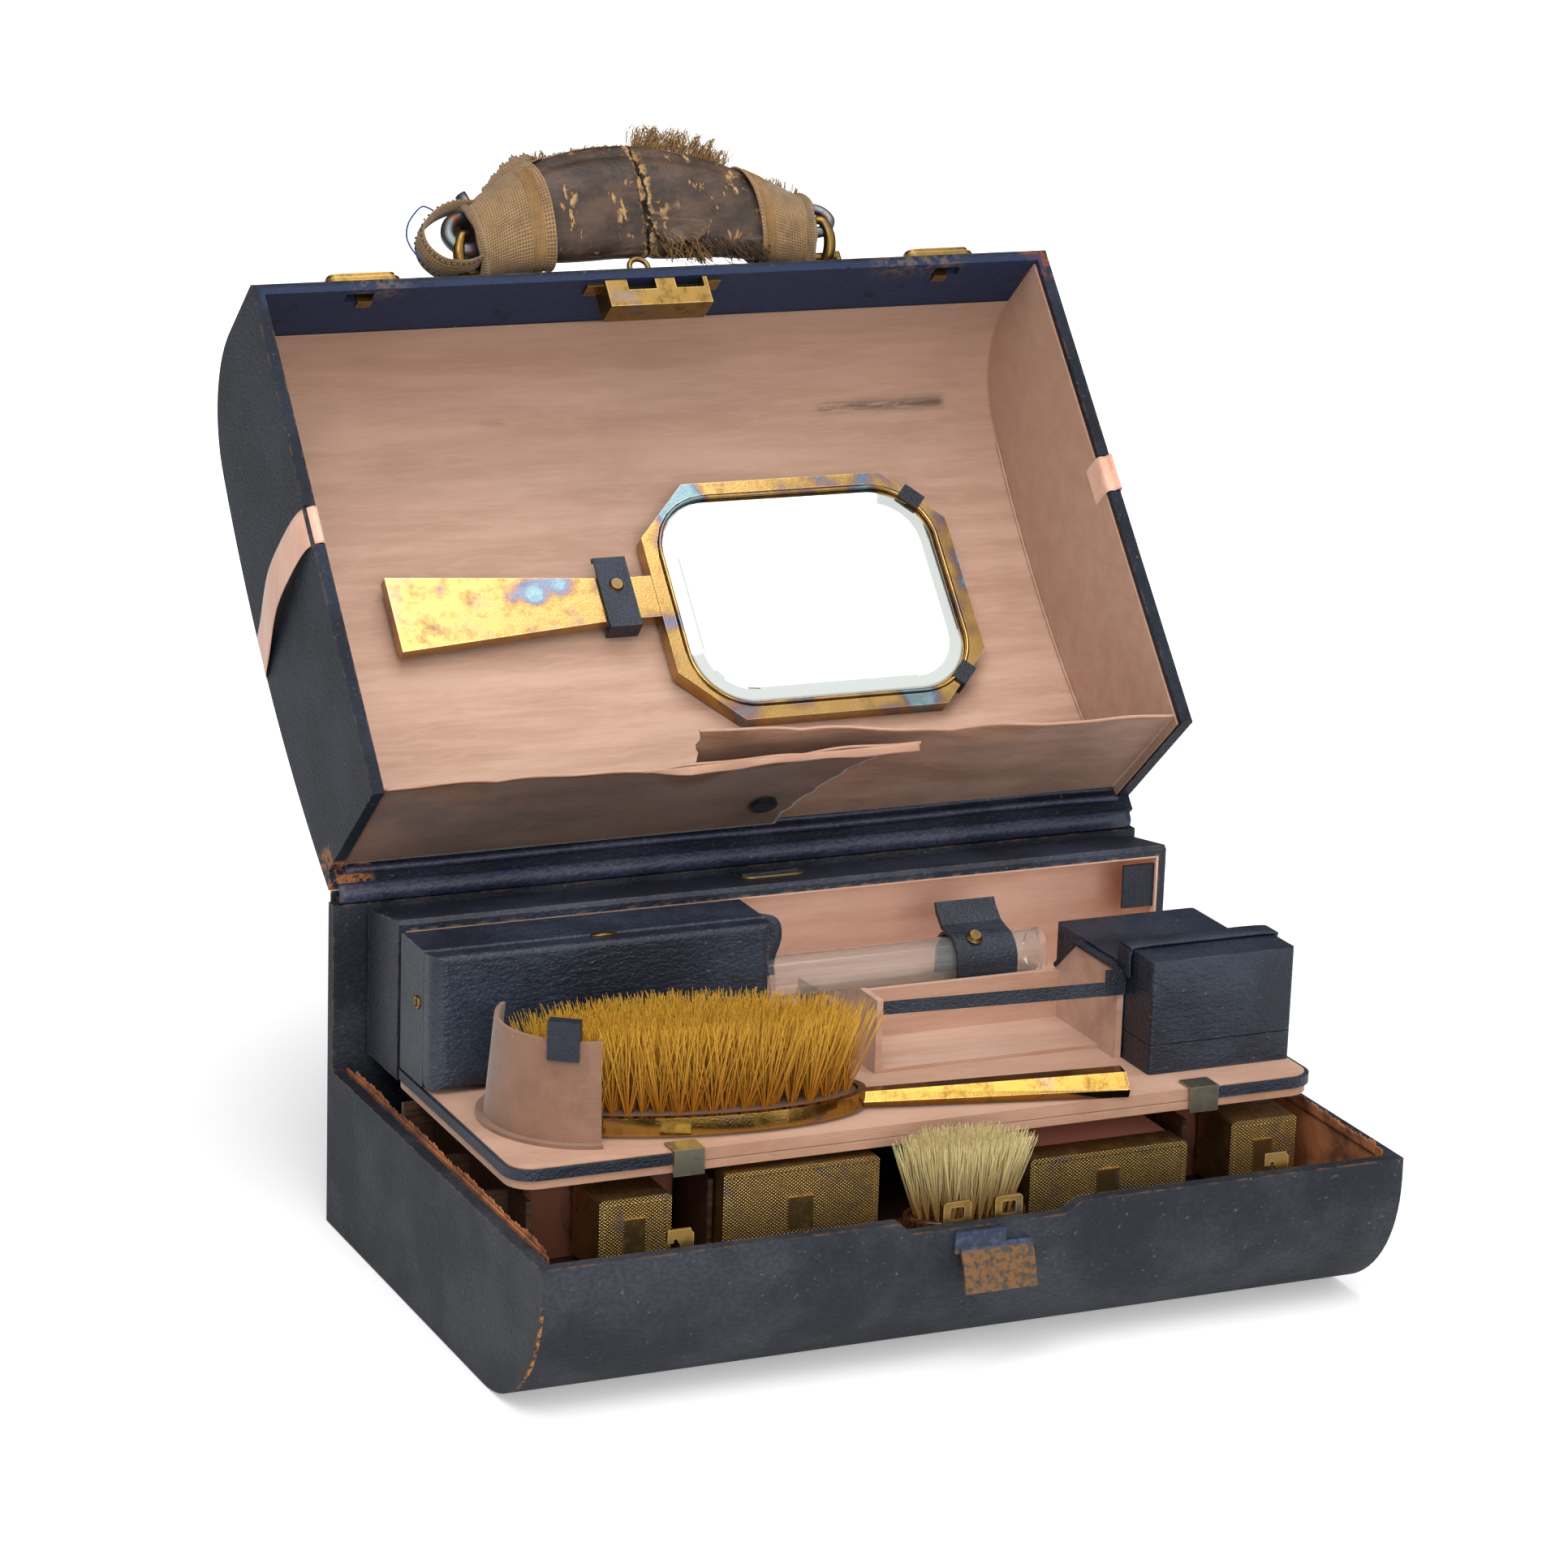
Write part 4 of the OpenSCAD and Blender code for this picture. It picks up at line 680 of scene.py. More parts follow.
@dataclass(frozen=True)
class Silk:
    """Watered silk: ribbed, with long pale streaks and old stains."""

    name: str
    base: str = "c99a82"
    pale: str = "e0b8a0"
    stain: str = "8d6a52"
    stained: float = 0.25
    streak: tuple[float, float, float] = (0.012, 0.11, 0.11)
    # Whether the lid's scuffs, its painted shade towards the dome's front and its browner side panels are laid on
    smudged_and_shaded: bool = False

    def make(self) -> bpy.types.Material:
        """Returns the material.

        Returns:
            The material.
        """
        s = Shader(self.name)
        at = s.object_mm
        flow = s.stretched(at, self.streak)
        streaks = s.noise(flow, 1.0, 6.0, 0.6)
        veins = s.step(s.math("ABSOLUTE", s.math("SUBTRACT", s.noise(flow, 0.55, 4.0), 0.5)), 0.0, 0.05)
        share = s.times(s.step(streaks, 0.32, 0.7), 0.75)
        colour = s.mix(share, self.base, self.pale)
        colour = s.tint(colour, self.pale, s.rest(veins), 0.3)
        stains = s.times(s.step(s.noise(at, 55.0, 6.0, 0.62), 0.52, 0.78), self.stained)
        colour = s.mix(stains, colour, self.stain)
        # The lid's silk gets painted shade towards the dome's front, browner side panels and two black scuffs
        if self.smudged_and_shaded:
            colour = self.smudges(s, self.front_shade_and_side_tint(s, colour))
        # The ribs are drawn coarser than the real silk's, so that they show
        ribs = s.waves(at, 0.9, "Z", 0.6)
        thread = s.noise(s.stretched(at, (0.5, 4.0, 4.0)), 1.0, 2.0)
        height = s.plus(s.times(ribs, 0.5), thread)
        return s.finish(
            colour, s.plus(0.42, s.times(streaks, 0.25)), height, 0.07,
            Sheen_Weight=0.35, Sheen_Roughness=0.4, Specular_IOR_Level=0.3,
        )

    @staticmethod
    def front_shade_and_side_tint(s: Shader, colour: Socket) -> Socket:
        """Returns the lid's silk darkened towards the front of the dome as painted shade, and browner on the side
        panels.

        Args:
            s: The material under construction.
            colour: The silk's colour so far.

        Returns:
            The colour.
        """
        parts = s.axes(s.lid_place())
        # Painted shade: darker towards the front of the dome, where less light falls inside the lid
        front = s.rest(s.step(parts[1], -112.0, 70.0))
        colour = s.tint(colour, "8f7260", front, 0.42)
        side = s.step(s.math("ABSOLUTE", parts[0]), 168.0, 168.8)
        return s.tint(colour, "a06a45", side, 0.4)

    @staticmethod
    def smudges(s: Shader, colour: Socket) -> Socket:
        """Adds the two black scuffs inside the dome.

        Args:
            s: The material under construction.
            colour: The silk's colour so far.

        Returns:
            The colour.
        """
        at = s.lid_place()
        mottle = s.noise(s.stretched(at, (0.12, 1.0, 1.0)), 1.6, 5.0, 0.7)
        denser = s.step(s.axes(at)[0], 76.0, 146.0)
        mottle = s.plus(mottle, s.times(denser, 0.16))
        long_mark = s.patch(at, (88.0, -87.5, None), (147.0, -84.0, None), 2.6)
        short_mark = s.patch(at, (-64.0, -88.0, None), (-54.0, -86.0, None), 1.8)
        both = s.math("ADD", long_mark, s.times(short_mark, 0.5), clamp=True)
        share = s.times(both, s.step(mottle, 0.36, 0.72))
        return s.tint(colour, "2a211c", share, 0.85)


@dataclass(frozen=True)
class Metal:
    """Old gilt or brass: worn, scratched and tarnished in patches."""

    name: str
    base: str = "b08a45"
    dark: str = "6a5128"
    bloom: str = "8a6a3a"
    bloom_size: float = 14.0
    bloomed: float = 0.3
    rough: float = 0.24
    pattern: tuple[float, float] | None = None
    plaque: tuple[tuple, tuple] | None = None
    rainbow: float = 0.0
    film_x: float | None = None

    def make(self) -> bpy.types.Material:
        """Returns the material.

        Returns:
            The material.
        """
        s = Shader(self.name)
        at = s.object_mm
        dirt = s.step(s.noise(at, 6.0, 6.0, 0.68), 0.46, 0.74)
        colour = s.mix(s.times(dirt, 0.7), self.base, self.dark)
        bloom = s.step(s.noise(at, self.bloom_size, 5.0, 0.6), 0.5, 0.66)
        tint = s.mix(s.step(s.noise(at, self.bloom_size * 0.6, 3.0), 0.4, 0.62), self.bloom, "5b5f7c")
        colour = s.mix(s.times(bloom, self.bloomed), colour, tint)
        if self.rainbow:
            colour = self.tarnish(s, at, colour)
        rub = s.edge(0.8)
        colour = s.tint(colour, "e6c98a", rub, 0.5)
        height = s.noise(at, 0.9, 3.0)
        depth = 0.03
        if self.pattern:
            height, depth = self.turned_ground(s, at, height), 0.16
        rough = s.plus(self.rough, s.times(dirt, 0.22))
        return s.finish(colour, rough, height, depth, Metallic=1.0)

    def tarnish(self, s: Shader, at: Socket, colour: Socket) -> Socket:
        """Returns the gilt with films of tarnish, whose colours follow each other as the film thickens.

        Args:
            s: The material under construction.
            at: Place in millimetres.
            colour: The clean metal's colour.

        Returns:
            The colour.
        """
        film = s.plus(s.noise(at, 34.0, 2.0, 0.5), s.times(s.noise(at, 6.0, 5.0, 0.65), 0.14))
        start = 0.7 - 0.1 * self.rainbow
        if self.film_x is not None:
            x = s.axes(at)[0]
            film = s.plus(film, s.times(s.step(x, self.film_x, self.film_x + 12.0), 0.07))
        for k, tint in enumerate(("8c7048", "6d5a6c", "4f718e", "7c9a9c")):
            share = s.step(film, start + 0.035 * k, start + 0.035 * k + 0.04)
            colour = s.mix(s.times(share, 0.62), colour, tint)
        return colour

    def turned_ground(self, s: Shader, at: Socket, plain: Socket) -> Socket:
        """Returns the relief of the engine-turned ground, bare on the plaque.

        Args:
            s: The material under construction.
            at: Place in millimetres.
            plain: Relief of the bare metal.

        Returns:
            The height of the relief.
        """
        # The cuts are drawn coarser than real engine turning, so that they show
        pitch, slant = self.pattern
        parts = s.axes(at)
        flat = s.add("ShaderNodeCombineXYZ", {0: parts[0], 1: parts[2]}).outputs[0]
        one = s.waves(s.stretched(flat, (1.0, 1.0, 1.0), slant), pitch, "X")
        two = s.waves(s.stretched(flat, (1.0, 1.0, 1.0), -slant), pitch, "X")
        cut = s.times(one, two)
        low, high = self.plaque
        bare = s.patch(at, (low[0], None, low[1]), (high[0], None, high[1]), 0.15)
        keep = s.rest(bare)
        return s.plus(s.times(cut, keep), s.times(plain, 0.1))


def plain_wood(name: str, base: str, dark: str, rough: float) -> bpy.types.Material:
    """Returns stained or varnished wood.

    Args:
        name: Name of the material.
        base: Colour of the light grain.
        dark: Colour of the dark grain.
        rough: Roughness of the varnish.

    Returns:
        The material.
    """
    s = Shader(name)
    grain = s.noise(s.stretched(s.object_mm, (0.05, 0.9, 0.9)), 1.0, 5.0, 0.6)
    colour = s.mix(s.step(grain, 0.35, 0.65), base, dark)
    return s.finish(colour, rough, grain, 0.08)


def old_paper(name: str) -> bpy.types.Material:
    """Returns the brown paper of the side walls.

    Args:
        name: Name of the material.

    Returns:
        The material.
    """
    s = Shader(name)
    blot = s.step(s.noise(s.object_mm, 16.0, 6.0, 0.65), 0.36, 0.68)
    colour = s.mix(blot, "a5673f", "5e3521")
    return s.finish(colour, 0.75, s.noise(s.object_mm, 3.0, 5.0), 0.3)


def hair(name: str, root: str, tip: str, deep: str) -> bpy.types.Material:
    """Returns bristle, coloured along its length.

    Args:
        name: Name of the material.
        root: Colour near the root.
        tip: Colour at the tip.
        deep: Colour of the darker hairs.

    Returns:
        The material.
    """
    s = Shader(name)
    along = s.add("ShaderNodeAttribute", attribute_name="along").outputs["Fac"]
    tint = s.add("ShaderNodeAttribute", attribute_name="tint").outputs["Fac"]
    # Darker towards the root: partly the bristle's own colour, partly painted shade deep in the tuft
    colour = s.mix(s.step(along, 0.0, 0.9), root, tip)
    colour = s.mix(s.times(s.step(tint, 0.45, 1.0), 0.5), colour, deep)
    return s.finish(colour, 0.42, Specular_IOR_Level=0.45, Subsurface_Weight=0.15, Subsurface_Scale=0.002)


def glass(name: str, colour: str, through: float, rough: float) -> bpy.types.Material:
    """Returns glass.

    Args:
        name: Name of the material.
        colour: Tint.
        through: Share of light that passes.
        rough: Roughness.

    Returns:
        The material.
    """
    s = Shader(name)
    smear = s.step(s.noise(s.object_mm, 9.0, 4.0), 0.4, 0.7)
    return s.finish(
        srgb(colour), s.plus(rough, s.times(smear, 0.06)),
        Transmission_Weight=through, IOR=1.3,
    )


def mirror_glass(name: str) -> bpy.types.Material:
    """Returns silvered glass, cut back to a greenish bevel round its edge and a little foxed.

    The distance from the edge is that of a rectangle with rounded corners.

    Args:
        name: Name of the material.

    Returns:
        The material.
    """
    s = Shader(name)
    low, high = node_box("mirror_glass")
    half_x, half_y, corner = (high[0] - low[0]) / 2, 47.2, 25.0
    middle = ((low[0] + high[0]) / 2, MIRROR_Y, 0.0)
    at = s.math_vector("ABSOLUTE", s.math_vector("SUBTRACT", s.lid_place(), middle), (0.0, 0.0, 0.0))
    away = s.math_vector("SUBTRACT", at, (half_x - corner, half_y - corner, 0.0))
    parts = s.axes(away)
    x, y = (s.math("MAXIMUM", part, 0.0) for part in parts[:2])
    reach = s.math("SQRT", s.plus(s.times(x, x), s.times(y, y)))
    bevel = s.step(reach, corner - 6.4, corner - 5.8)
    rim = s.step(reach, corner - 1.4, corner - 0.4)
    spots = s.step(s.noise(s.object_mm, 1.6, 5.0, 0.75), 0.68, 0.76)
    colour = s.mix(s.times(bevel, 0.5), "ffffff", "a9b6ab")
    colour = s.tint(colour, "5d6459", rim, 0.5)
    foxed = s.times(spots, s.plus(0.06, s.times(bevel, 0.6)))
    colour = s.mix(foxed, colour, "5a574d")
    slope = s.math("MAXIMUM", s.math("SUBTRACT", reach, corner - 6.0), 0.0)
    return s.finish(colour, 0.03, slope, -0.05, Metallic=1.0)


def cracked_leather(name: str, crack_x: float) -> bpy.types.Material:
    """Returns the grip's dry leather: flaked to its tan core, with one deep crack.

    Args:
        name: Name of the material.
        crack_x: Place of the crack along the handle.

    Returns:
        The material.
    """
    s = Shader(name)
    at = s.object_mm
    flow = s.stretched(at, (0.5, 1.0, 1.0))
    tone = s.mix(s.step(s.noise(flow, 11.0, 5.0, 0.6), 0.35, 0.65), "2e221b", "503c2f")
    worn = s.step(s.noise(s.stretched(at, (0.1, 1.0, 1.0)), 5.0, 4.0, 0.6), 0.6, 0.7)
    tone = s.tint(tone, "75655a", worn, 0.5)
    flake = s.step(s.noise(s.stretched(at, (1.3, 0.6, 0.6)), 6.0, 8.0, 0.7), 0.56, 0.59)
    bare = s.times(flake, s.step(s.noise(at, 19.0, 2.0), 0.46, 0.56))
    crackle = s.rest(s.step(s.cells(flow, 3.2, "DISTANCE_TO_EDGE"), 0.0, 0.07))
    crackle = s.times(crackle, s.step(s.noise(at, 12.0, 3.0), 0.42, 0.6))
    colour = s.tint(tone, "2a1c12", crackle, 0.35)
    x = s.axes(at)[0]
    waver = s.times(s.math("SUBTRACT", s.noise(at, 4.0, 4.0), 0.5), 5.0)
    gap = s.math("ABSOLUTE", s.plus(s.math("SUBTRACT", x, crack_x), waver))
    torn = s.rest(s.step(gap, 1.4, 3.4))
    torn = s.times(torn, s.step(s.noise(at, 3.0, 5.0, 0.7), 0.42, 0.52))
    bare = s.math("MAXIMUM", bare, torn)
    colour = s.mix(bare, colour, "a07c52")
    # Painted shade: the open crack is near black
    split_shade = s.rest(s.step(gap, 0.5, 0.9))
    colour = s.mix(split_shade, colour, "060504")
    height = s.math("SUBTRACT", s.noise(at, 4.0, 5.0), s.plus(s.times(bare, 0.4), split_shade))
    return s.finish(colour, 0.5, height, 0.6, Specular_IOR_Level=0.35)


def canvas(name: str, base: str, dark: str, pitch: float = 1.1) -> bpy.types.Material:
    """Returns coarse woven canvas, laid out on the piece's own pattern.

    Args:
        name: Name of the material.
        base: Colour of the raised threads.
        dark: Colour between them.
        pitch: Distance between threads.

    Returns:
        The material.
    """
    s = Shader(name)
    warp = s.waves(s.uv_mm, pitch, "X", 0.4)
    weft = s.waves(s.uv_mm, pitch, "Y", 0.4)
    weave = s.math("MAXIMUM", warp, weft)
    dirt = s.step(s.noise(s.object_mm, 8.0, 5.0, 0.65), 0.4, 0.7)
    colour = s.mix(s.step(weave, 0.3, 0.9), dark, base)
    colour = s.tint(colour, "5a4127", dirt, 0.55)
    return s.finish(colour, 0.85, weave, 0.3, Sheen_Weight=0.2)


def plain(name: str, colour: str, rough: float, **more: object) -> bpy.types.Material:
    """Returns a simple surface with a little mottling.

    Args:
        name: Name of the material.
        colour: Its colour.
        rough: Its roughness.
        **more: Other inputs of the surface.

    Returns:
        The material.
    """
    s = Shader(name)
    tone = s.mix(s.step(s.noise(s.object_mm, 3.0, 4.0), 0.35, 0.7), colour, "1a1512")
    return s.finish(s.mix(0.25, colour, tone), rough, s.noise(s.object_mm, 0.8, 3.0), 0.05, **more)


class Palette:
    """All the materials of the object, each made once."""

    def __init__(self) -> None:
        """Makes the materials."""
        # Dyed goatskin: a dull dark navy with a fine grain, greyed in patches and brown at its rubbed edges
        corner = Scuff((-174.9, -130.0, 2.0), (-173.5, -92.0, 47.0), "a8702f", 0.12, 2.5)
        self.outside = Leather(
            "Leather_navy_faded", "191d25", "30343b", "7d5330", wear=0.75, specks=0.6, rough=0.6, shine=0.26,
            scuffs=(corner,),
        ).make()
        lid_scuffs = (
            Scuff((163.0, -118.0, 60.0), (178.0, -103.0, 84.0), "7c4027", 3.0, 7.0, True),
            Scuff((-172.0, -113.5, 62.0), (172.0, -104.0, 96.0), "1d2a47", 1.0, 9.0, True, 0.85, 0.3),
            Scuff((96.0, -116.0, 62.0), (134.0, -106.0, 70.0), "7a6650", 7.0, 3.0, True, 0.6),
            Scuff((-132.0, -116.0, 62.0), (-112.0, -106.0, 69.0), "7a6650", 7.0, 3.0, True, 0.6),
            Scuff((-178.0, 100.0, 124.0), (-158.0, 118.0, 140.0), "a2673c", 2.0, 4.0, True),
        )
        self.lid_leather = Leather(
            "Leather_navy_lid", "0f1520", "1f2735", "74523a", wear=0.65, specks=0.5, rough=0.55, shine=0.2,
            scuffs=lid_scuffs,
        ).make()
        self.box_leather = Leather(
            "Leather_navy_box", "121927", "28313f", "5b5750", grain=1.2, wear=0.5, specks=0.45, rough=0.38,
            shine=0.4, crease=0.8,
        ).make()
        self.strap = Leather(
            "Leather_navy_strap", "141a26", "262d3d", "3c3e46", grain=0.9, wear=0.35, specks=0.25, rough=0.45).make()
        self.tray_leather = Leather(
            "Leather_navy_tray", "161c2b", "2b3243", "7a6753", wear=0.8, specks=0.6, rough=0.5).make()
        self.hinge_leather = Leather(
            "Leather_navy_hinge", "242a40", "3c3d52", "6b5542", wear=0.3, specks=0.5, rough=0.42, shine=0.5).make()
        self.tab = leather_tab("Leather_front_tab", 51.0)
        # Watered silk: a soft sheen with long pale streaks and stains browned by age; the satin ribbon is brighter
        # The lid's silk carries painted shade towards the front of the dome
        self.lid_silk = Silk("Silk_lid", "a98570", "c3a18c", "7c5c46", smudged_and_shaded=True, stained=0.25).make()
        self.silk = Silk("Silk_pink", "a98069", "bf9a85", "7d5a46", stained=0.25).make()
        # Painted light: the upright's silk is a paler copy of the pink silk, standing in for light on the recessed
        # lining
        self.upright_silk_painted_light = Silk("Silk_upright_painted_light", "e3b59c", "f2cfba", "9a735b", stained=0.35).make()
        self.board = Silk("Silk_board", "ab7f67", "bf987f", "7d5b44", stained=0.25, streak=(0.02, 0.05, 0.05)).make()
        # The guard's silk is darker than the pink silk
        self.guard_silk = Silk(
            "Silk_guard", "755441", "8d6a57", "523829", stained=0.35, streak=(0.03, 0.05, 0.03)).make()
        # Painted shade: the torn pocket panel's silk is a dark brown copy of the pink silk, with its stains
        self.pocket = Silk("Silk_pocket", "51301c", "734c33", "2d1c14", stained=0.7, streak=(0.02, 0.07, 0.07)).make()
        self.pocket_back = Silk(
            "Silk_pocket_back", "82583f", "a67f68", "553a2a", stained=0.5, streak=(0.02, 0.07, 0.07)).make()
        self.satin = Silk(
            "Satin_ribbon", "cf9a82", "e8bba4", "9a6d56", stained=0.25, streak=(0.05, 0.05, 0.02)).make()
        # Gilding on brass: warm and nearly a mirror, with blue and purple films where it has tarnished
        self.gilt = Metal("Gilt_brush", "9c7a3a", "5c441f", "8a5f45", 26.0, 0.35, rough=0.12, rainbow=0.35).make()
        self.mirror_gilt = Metal(
            "Gilt_mirror", "b08d56", "8a6e44", "8f7d66", 16.0, 0.3, rough=0.17, rainbow=1.0, film_x=-16.0).make()
        # Old brass, plated steel and iron: duller and browner, the iron spotted with rust
        self.brass = Metal("Brass_fittings", "806536", "4c3b20", "66583f", rough=0.34, bloomed=0.35).make()
        self.old_brass = Metal("Brass_dull", "8f784a", "4f4228", "6a5540", rough=0.4, bloomed=0.4).make()
        self.clip = Metal("Metal_clip", "8f8a78", "565247", "6b665a", rough=0.4, bloomed=0.5).make()
        self.iron = Metal("Iron_ring", "6d7476", "4a3a2e", "a8582a", 9.0, 0.9, rough=0.45).make()
        # Stained pine has a dull dark grain, varnished rosewood a glossy one, and brown paper has no shine
        self.wood = plain_wood("Wood_partitions", "4a2a1a", "1e110b", 0.5)
        self.brush_wood = plain_wood("Wood_small_brush", "4b2a1c", "23130d", 0.2)
        self.paper = old_paper("Paper_brown")
        # Boar bristle: dark at its root and lighter at its tip, partly the bristle's own colour and partly painted
        # shade, so that the tufts look deep
        self.amber = hair("Bristle_amber", "a3620e", "e2ac3c", "8f5c14")
        self.cream = hair("Bristle_cream", "94642c", "e9d59c", "b89a5c")
        # Glass: tinted and smeared for the bottles and the jar, clear for the tube, silvered for the mirror
        self.bottle = glass("Glass_bottle", "a8705a", 0.55, 0.08)
        self.tube = glass("Glass_tube", "f6f7f5", 0.95, 0.03)
        self.cream_jar = glass("Glass_jar_of_cream", "d98f7c", 0.12, 0.16)
        self.mirror = mirror_glass("Mirror_silvered")
        # Jet is black and glossy, the grip's leather dry and cracked; canvas, thread and rusted iron have no shine
        self.jet = plain("Button_black", "0d0d10", 0.16, Coat_Weight=0.6)
        self.grip = cracked_leather("Leather_grip", 2.0)
        self.canvas = canvas("Canvas_tan", "94744b", "594126")
        self.thread = plain("Thread_tan", "8d6b40", 0.9)
        self.dark_thread = plain("Thread_brown", "4e3a27", 0.9)
        self.blue_thread = plain("Thread_blue", "223a78", 0.8)
        self.rust = plain("Iron_rusted", "5b3f2c", 0.7)
        # Painted shade: a dark canvas sheet inside each sleeve's open end
        self.hollow_shade = plain("Canvas_hollow", "241910", 0.9)

    def turned(self, node: str, plaque_w: float, plaque_h: float) -> bpy.types.Material:
        """Returns the engine-turned gilt of one cap or lid, with its bare plaque.

        Args:
            node: The CAD node.
            plaque_w: Width of the plaque.
            plaque_h: Height of the plaque.

        Returns:
            The material.
        """
        low, high = node_box(node)
        x, z = (low[0] + high[0]) / 2, (low[2] + high[2]) / 2
        return Metal(
            f"Gilt_turned_{node}", "b8965c", "7c5f36", "96703f", 12.0, 0.5, rough=0.36, pattern=(1.0, 0.9),
            plaque=((x - plaque_w / 2, z - plaque_h / 2), (x + plaque_w / 2, z + plaque_h / 2)),
        ).make()


def paint(obj: bpy.types.Object, material: bpy.types.Material) -> None:
    """Gives an object one material in place of all that it had."""
    obj.data.materials.clear()
    obj.data.materials.append(material)


def place(obj: bpy.types.Object, material: bpy.types.Material, body: Body) -> None:
    """Paints a piece and lets it ride on a body.

    Args:
        obj: The piece.
        material: Its material.
        body: The body that it moves with.
    """
    paint(obj, material)
    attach(obj, body.value)
    log.info("made %s, which moves with the body %s", obj.name, body.value)


def dress_nodes(look: Palette) -> None:
    """Gives each CAD node that stays its material.

    Args:
        look: The materials.
    """
    groups = {
        look.outside: ["base_shell"],
        look.lid_leather: ["lid_shell", "hinge_margin", "hinge_leather"],
        look.box_leather: ["long_box_base", "long_box_lid", "jewel_base", "jewel_lid", "rear_box"],
        look.strap: [
            "mirror_strap", "mirror_tabs", "tube_strap", "guard_tab", "upright_tabs", "pull_loop",
            "compartment_strap", "wall_binding", "board_piping",
        ],
        look.tray_leather: ["upright_shell"],
        look.tab: ["front_tab"],
        look.lid_silk: ["lid_lining"],
        look.upright_silk_painted_light: ["upright_lining"],
        look.silk: ["compartment"],
        look.board: ["upper_board", "lower_board"],
        look.guard_silk: ["brush_guard"],
        look.gilt: ["hairbrush_body"],
        look.mirror_gilt: ["mirror_frame"],
        look.brass: [
            "lock_box", "handle_staples", "centre_ring", "left_catch", "right_catch", "side_hooks",
            "lock_staples", "mirror_snap", "tube_snap",
        ],
        look.old_brass: ["pull_plate", "powder_box"],
        look.clip: ["board_clips"],
        look.wood: ["partitions"],
        look.brush_wood: ["small_brush_back"],
        look.paper: ["base_lining"],
        look.bottle: ["left_bottle", "right_bottle"],
        look.tube: ["glass_tube"],
        look.cream_jar: ["jar_body"],
        look.mirror: ["mirror_glass"],
        look.jet: ["pocket_button"],
        look.turned("left_cap", 8.4, 13.2): ["left_cap"],
        look.turned("right_cap", 8.4, 13.2): ["right_cap"],
        look.turned("powder_lid", 10.0, 13.0): ["powder_lid"],
        look.turned("jar_lid", 10.0, 13.0): ["jar_lid"],
    }
    for material, names in groups.items():
        for name in names:
            paint(frame["nodes"][name], material)
    log.info("dressed %d nodes", sum(map(len, groups.values())))


# Bristles

@dataclass(frozen=True)
class Bristles:
    """A field of tufts over an oval head."""

    node: str
    body: Body
    slot: str
    tufts: int
    hairs: int
    base_a: float
    base_b: float
    tip_a: float
    tip_b: float
    turn: float
    radius: float
    loose: float
    seed: int

    def make(self, material: bpy.types.Material) -> None:
        """Builds the hairs and replaces the CAD bristles.

        Args:
            material: The hair's material.
        """
        low, high = node_box(self.node)
        centre = (low + high) / 2
        n = self.tufts * self.hairs
        k = np.arange(self.tufts) + 0.5
        r, a = np.sqrt(k / self.tufts), k * GOLDEN_ANGLE
        tuft = np.stack([r * np.cos(a), r * np.sin(a)], -1).repeat(self.hairs, axis=0)
        noise = np.stack([unit_hash(n, self.seed), unit_hash(n, self.seed + 1)], -1) - 0.5
        radial = tuft + noise * 0.03
        spread = tuft + noise * 0.34
        height = high[2] - low[2]
        fall = (2.5 * np.abs(tuft[:, 0]) ** 3 + 5.0 * np.maximum(0, unit_hash(n, self.seed + 2) - 0.55) * self.loose)
        roots = np.stack([radial[:, 0] * self.base_a, radial[:, 1] * self.base_b, np.full(n, 1.0)], -1)
        tips = np.stack([spread[:, 0] * self.tip_a, spread[:, 1] * self.tip_b, height - fall], -1)
        c, s = math.cos(math.radians(self.turn)), math.sin(math.radians(self.turn))
        spin = np.array([[c, s, 0], [-s, c, 0], [0, 0, 1]])
        shift = np.array([centre[0], centre[1], low[2]])
        obj = strands(
            f"{self.node}_hair", roots @ spin + shift, tips @ spin + shift, self.radius, self.radius * 0.45,
            1.1 * self.loose, self.seed + 5,
        )
        place(obj, material, self.body)
        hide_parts(self.node)


def make_pads(look: Palette) -> None:
    """Makes the two pads that the bristles are set in.

    Args:
        look: The materials.
    """
    a = full_turn(64)
    for node, half_a, half_b, turn, body, slot, material in (
        ("hairbrush_bristles", 63.5, 21.5, BRUSH_TURN, Body.HAIRBRUSH, "amber_bristle", look.rust),
        ("small_brush_bristles", 22.0, 12.0, 0.0, Body.CASE, "cream_bristle", look.brush_wood),
    ):
        low, high = node_box(node)
        c, s = math.cos(math.radians(turn)), math.sin(math.radians(turn))
        share = np.array([1.0, 0.99, 0.6, 0.0])
        x = half_a * np.cos(a)[None] * share[:, None]
        y = half_b * np.sin(a)[None] * share[:, None]
        z = np.array([0.0, 1.4, 1.9, 2.1])[:, None] + low[2] + 0 * x
        mid = (low + high) / 2
        rings = np.stack([mid[0] + x * c - y * s, mid[1] + x * s + y * c, z], -1)
        pad = new_mesh(f"{node}_pad", rings, quads(4, 64, closed=True))
        place(pad, material, body)


# Soft goods of the lid

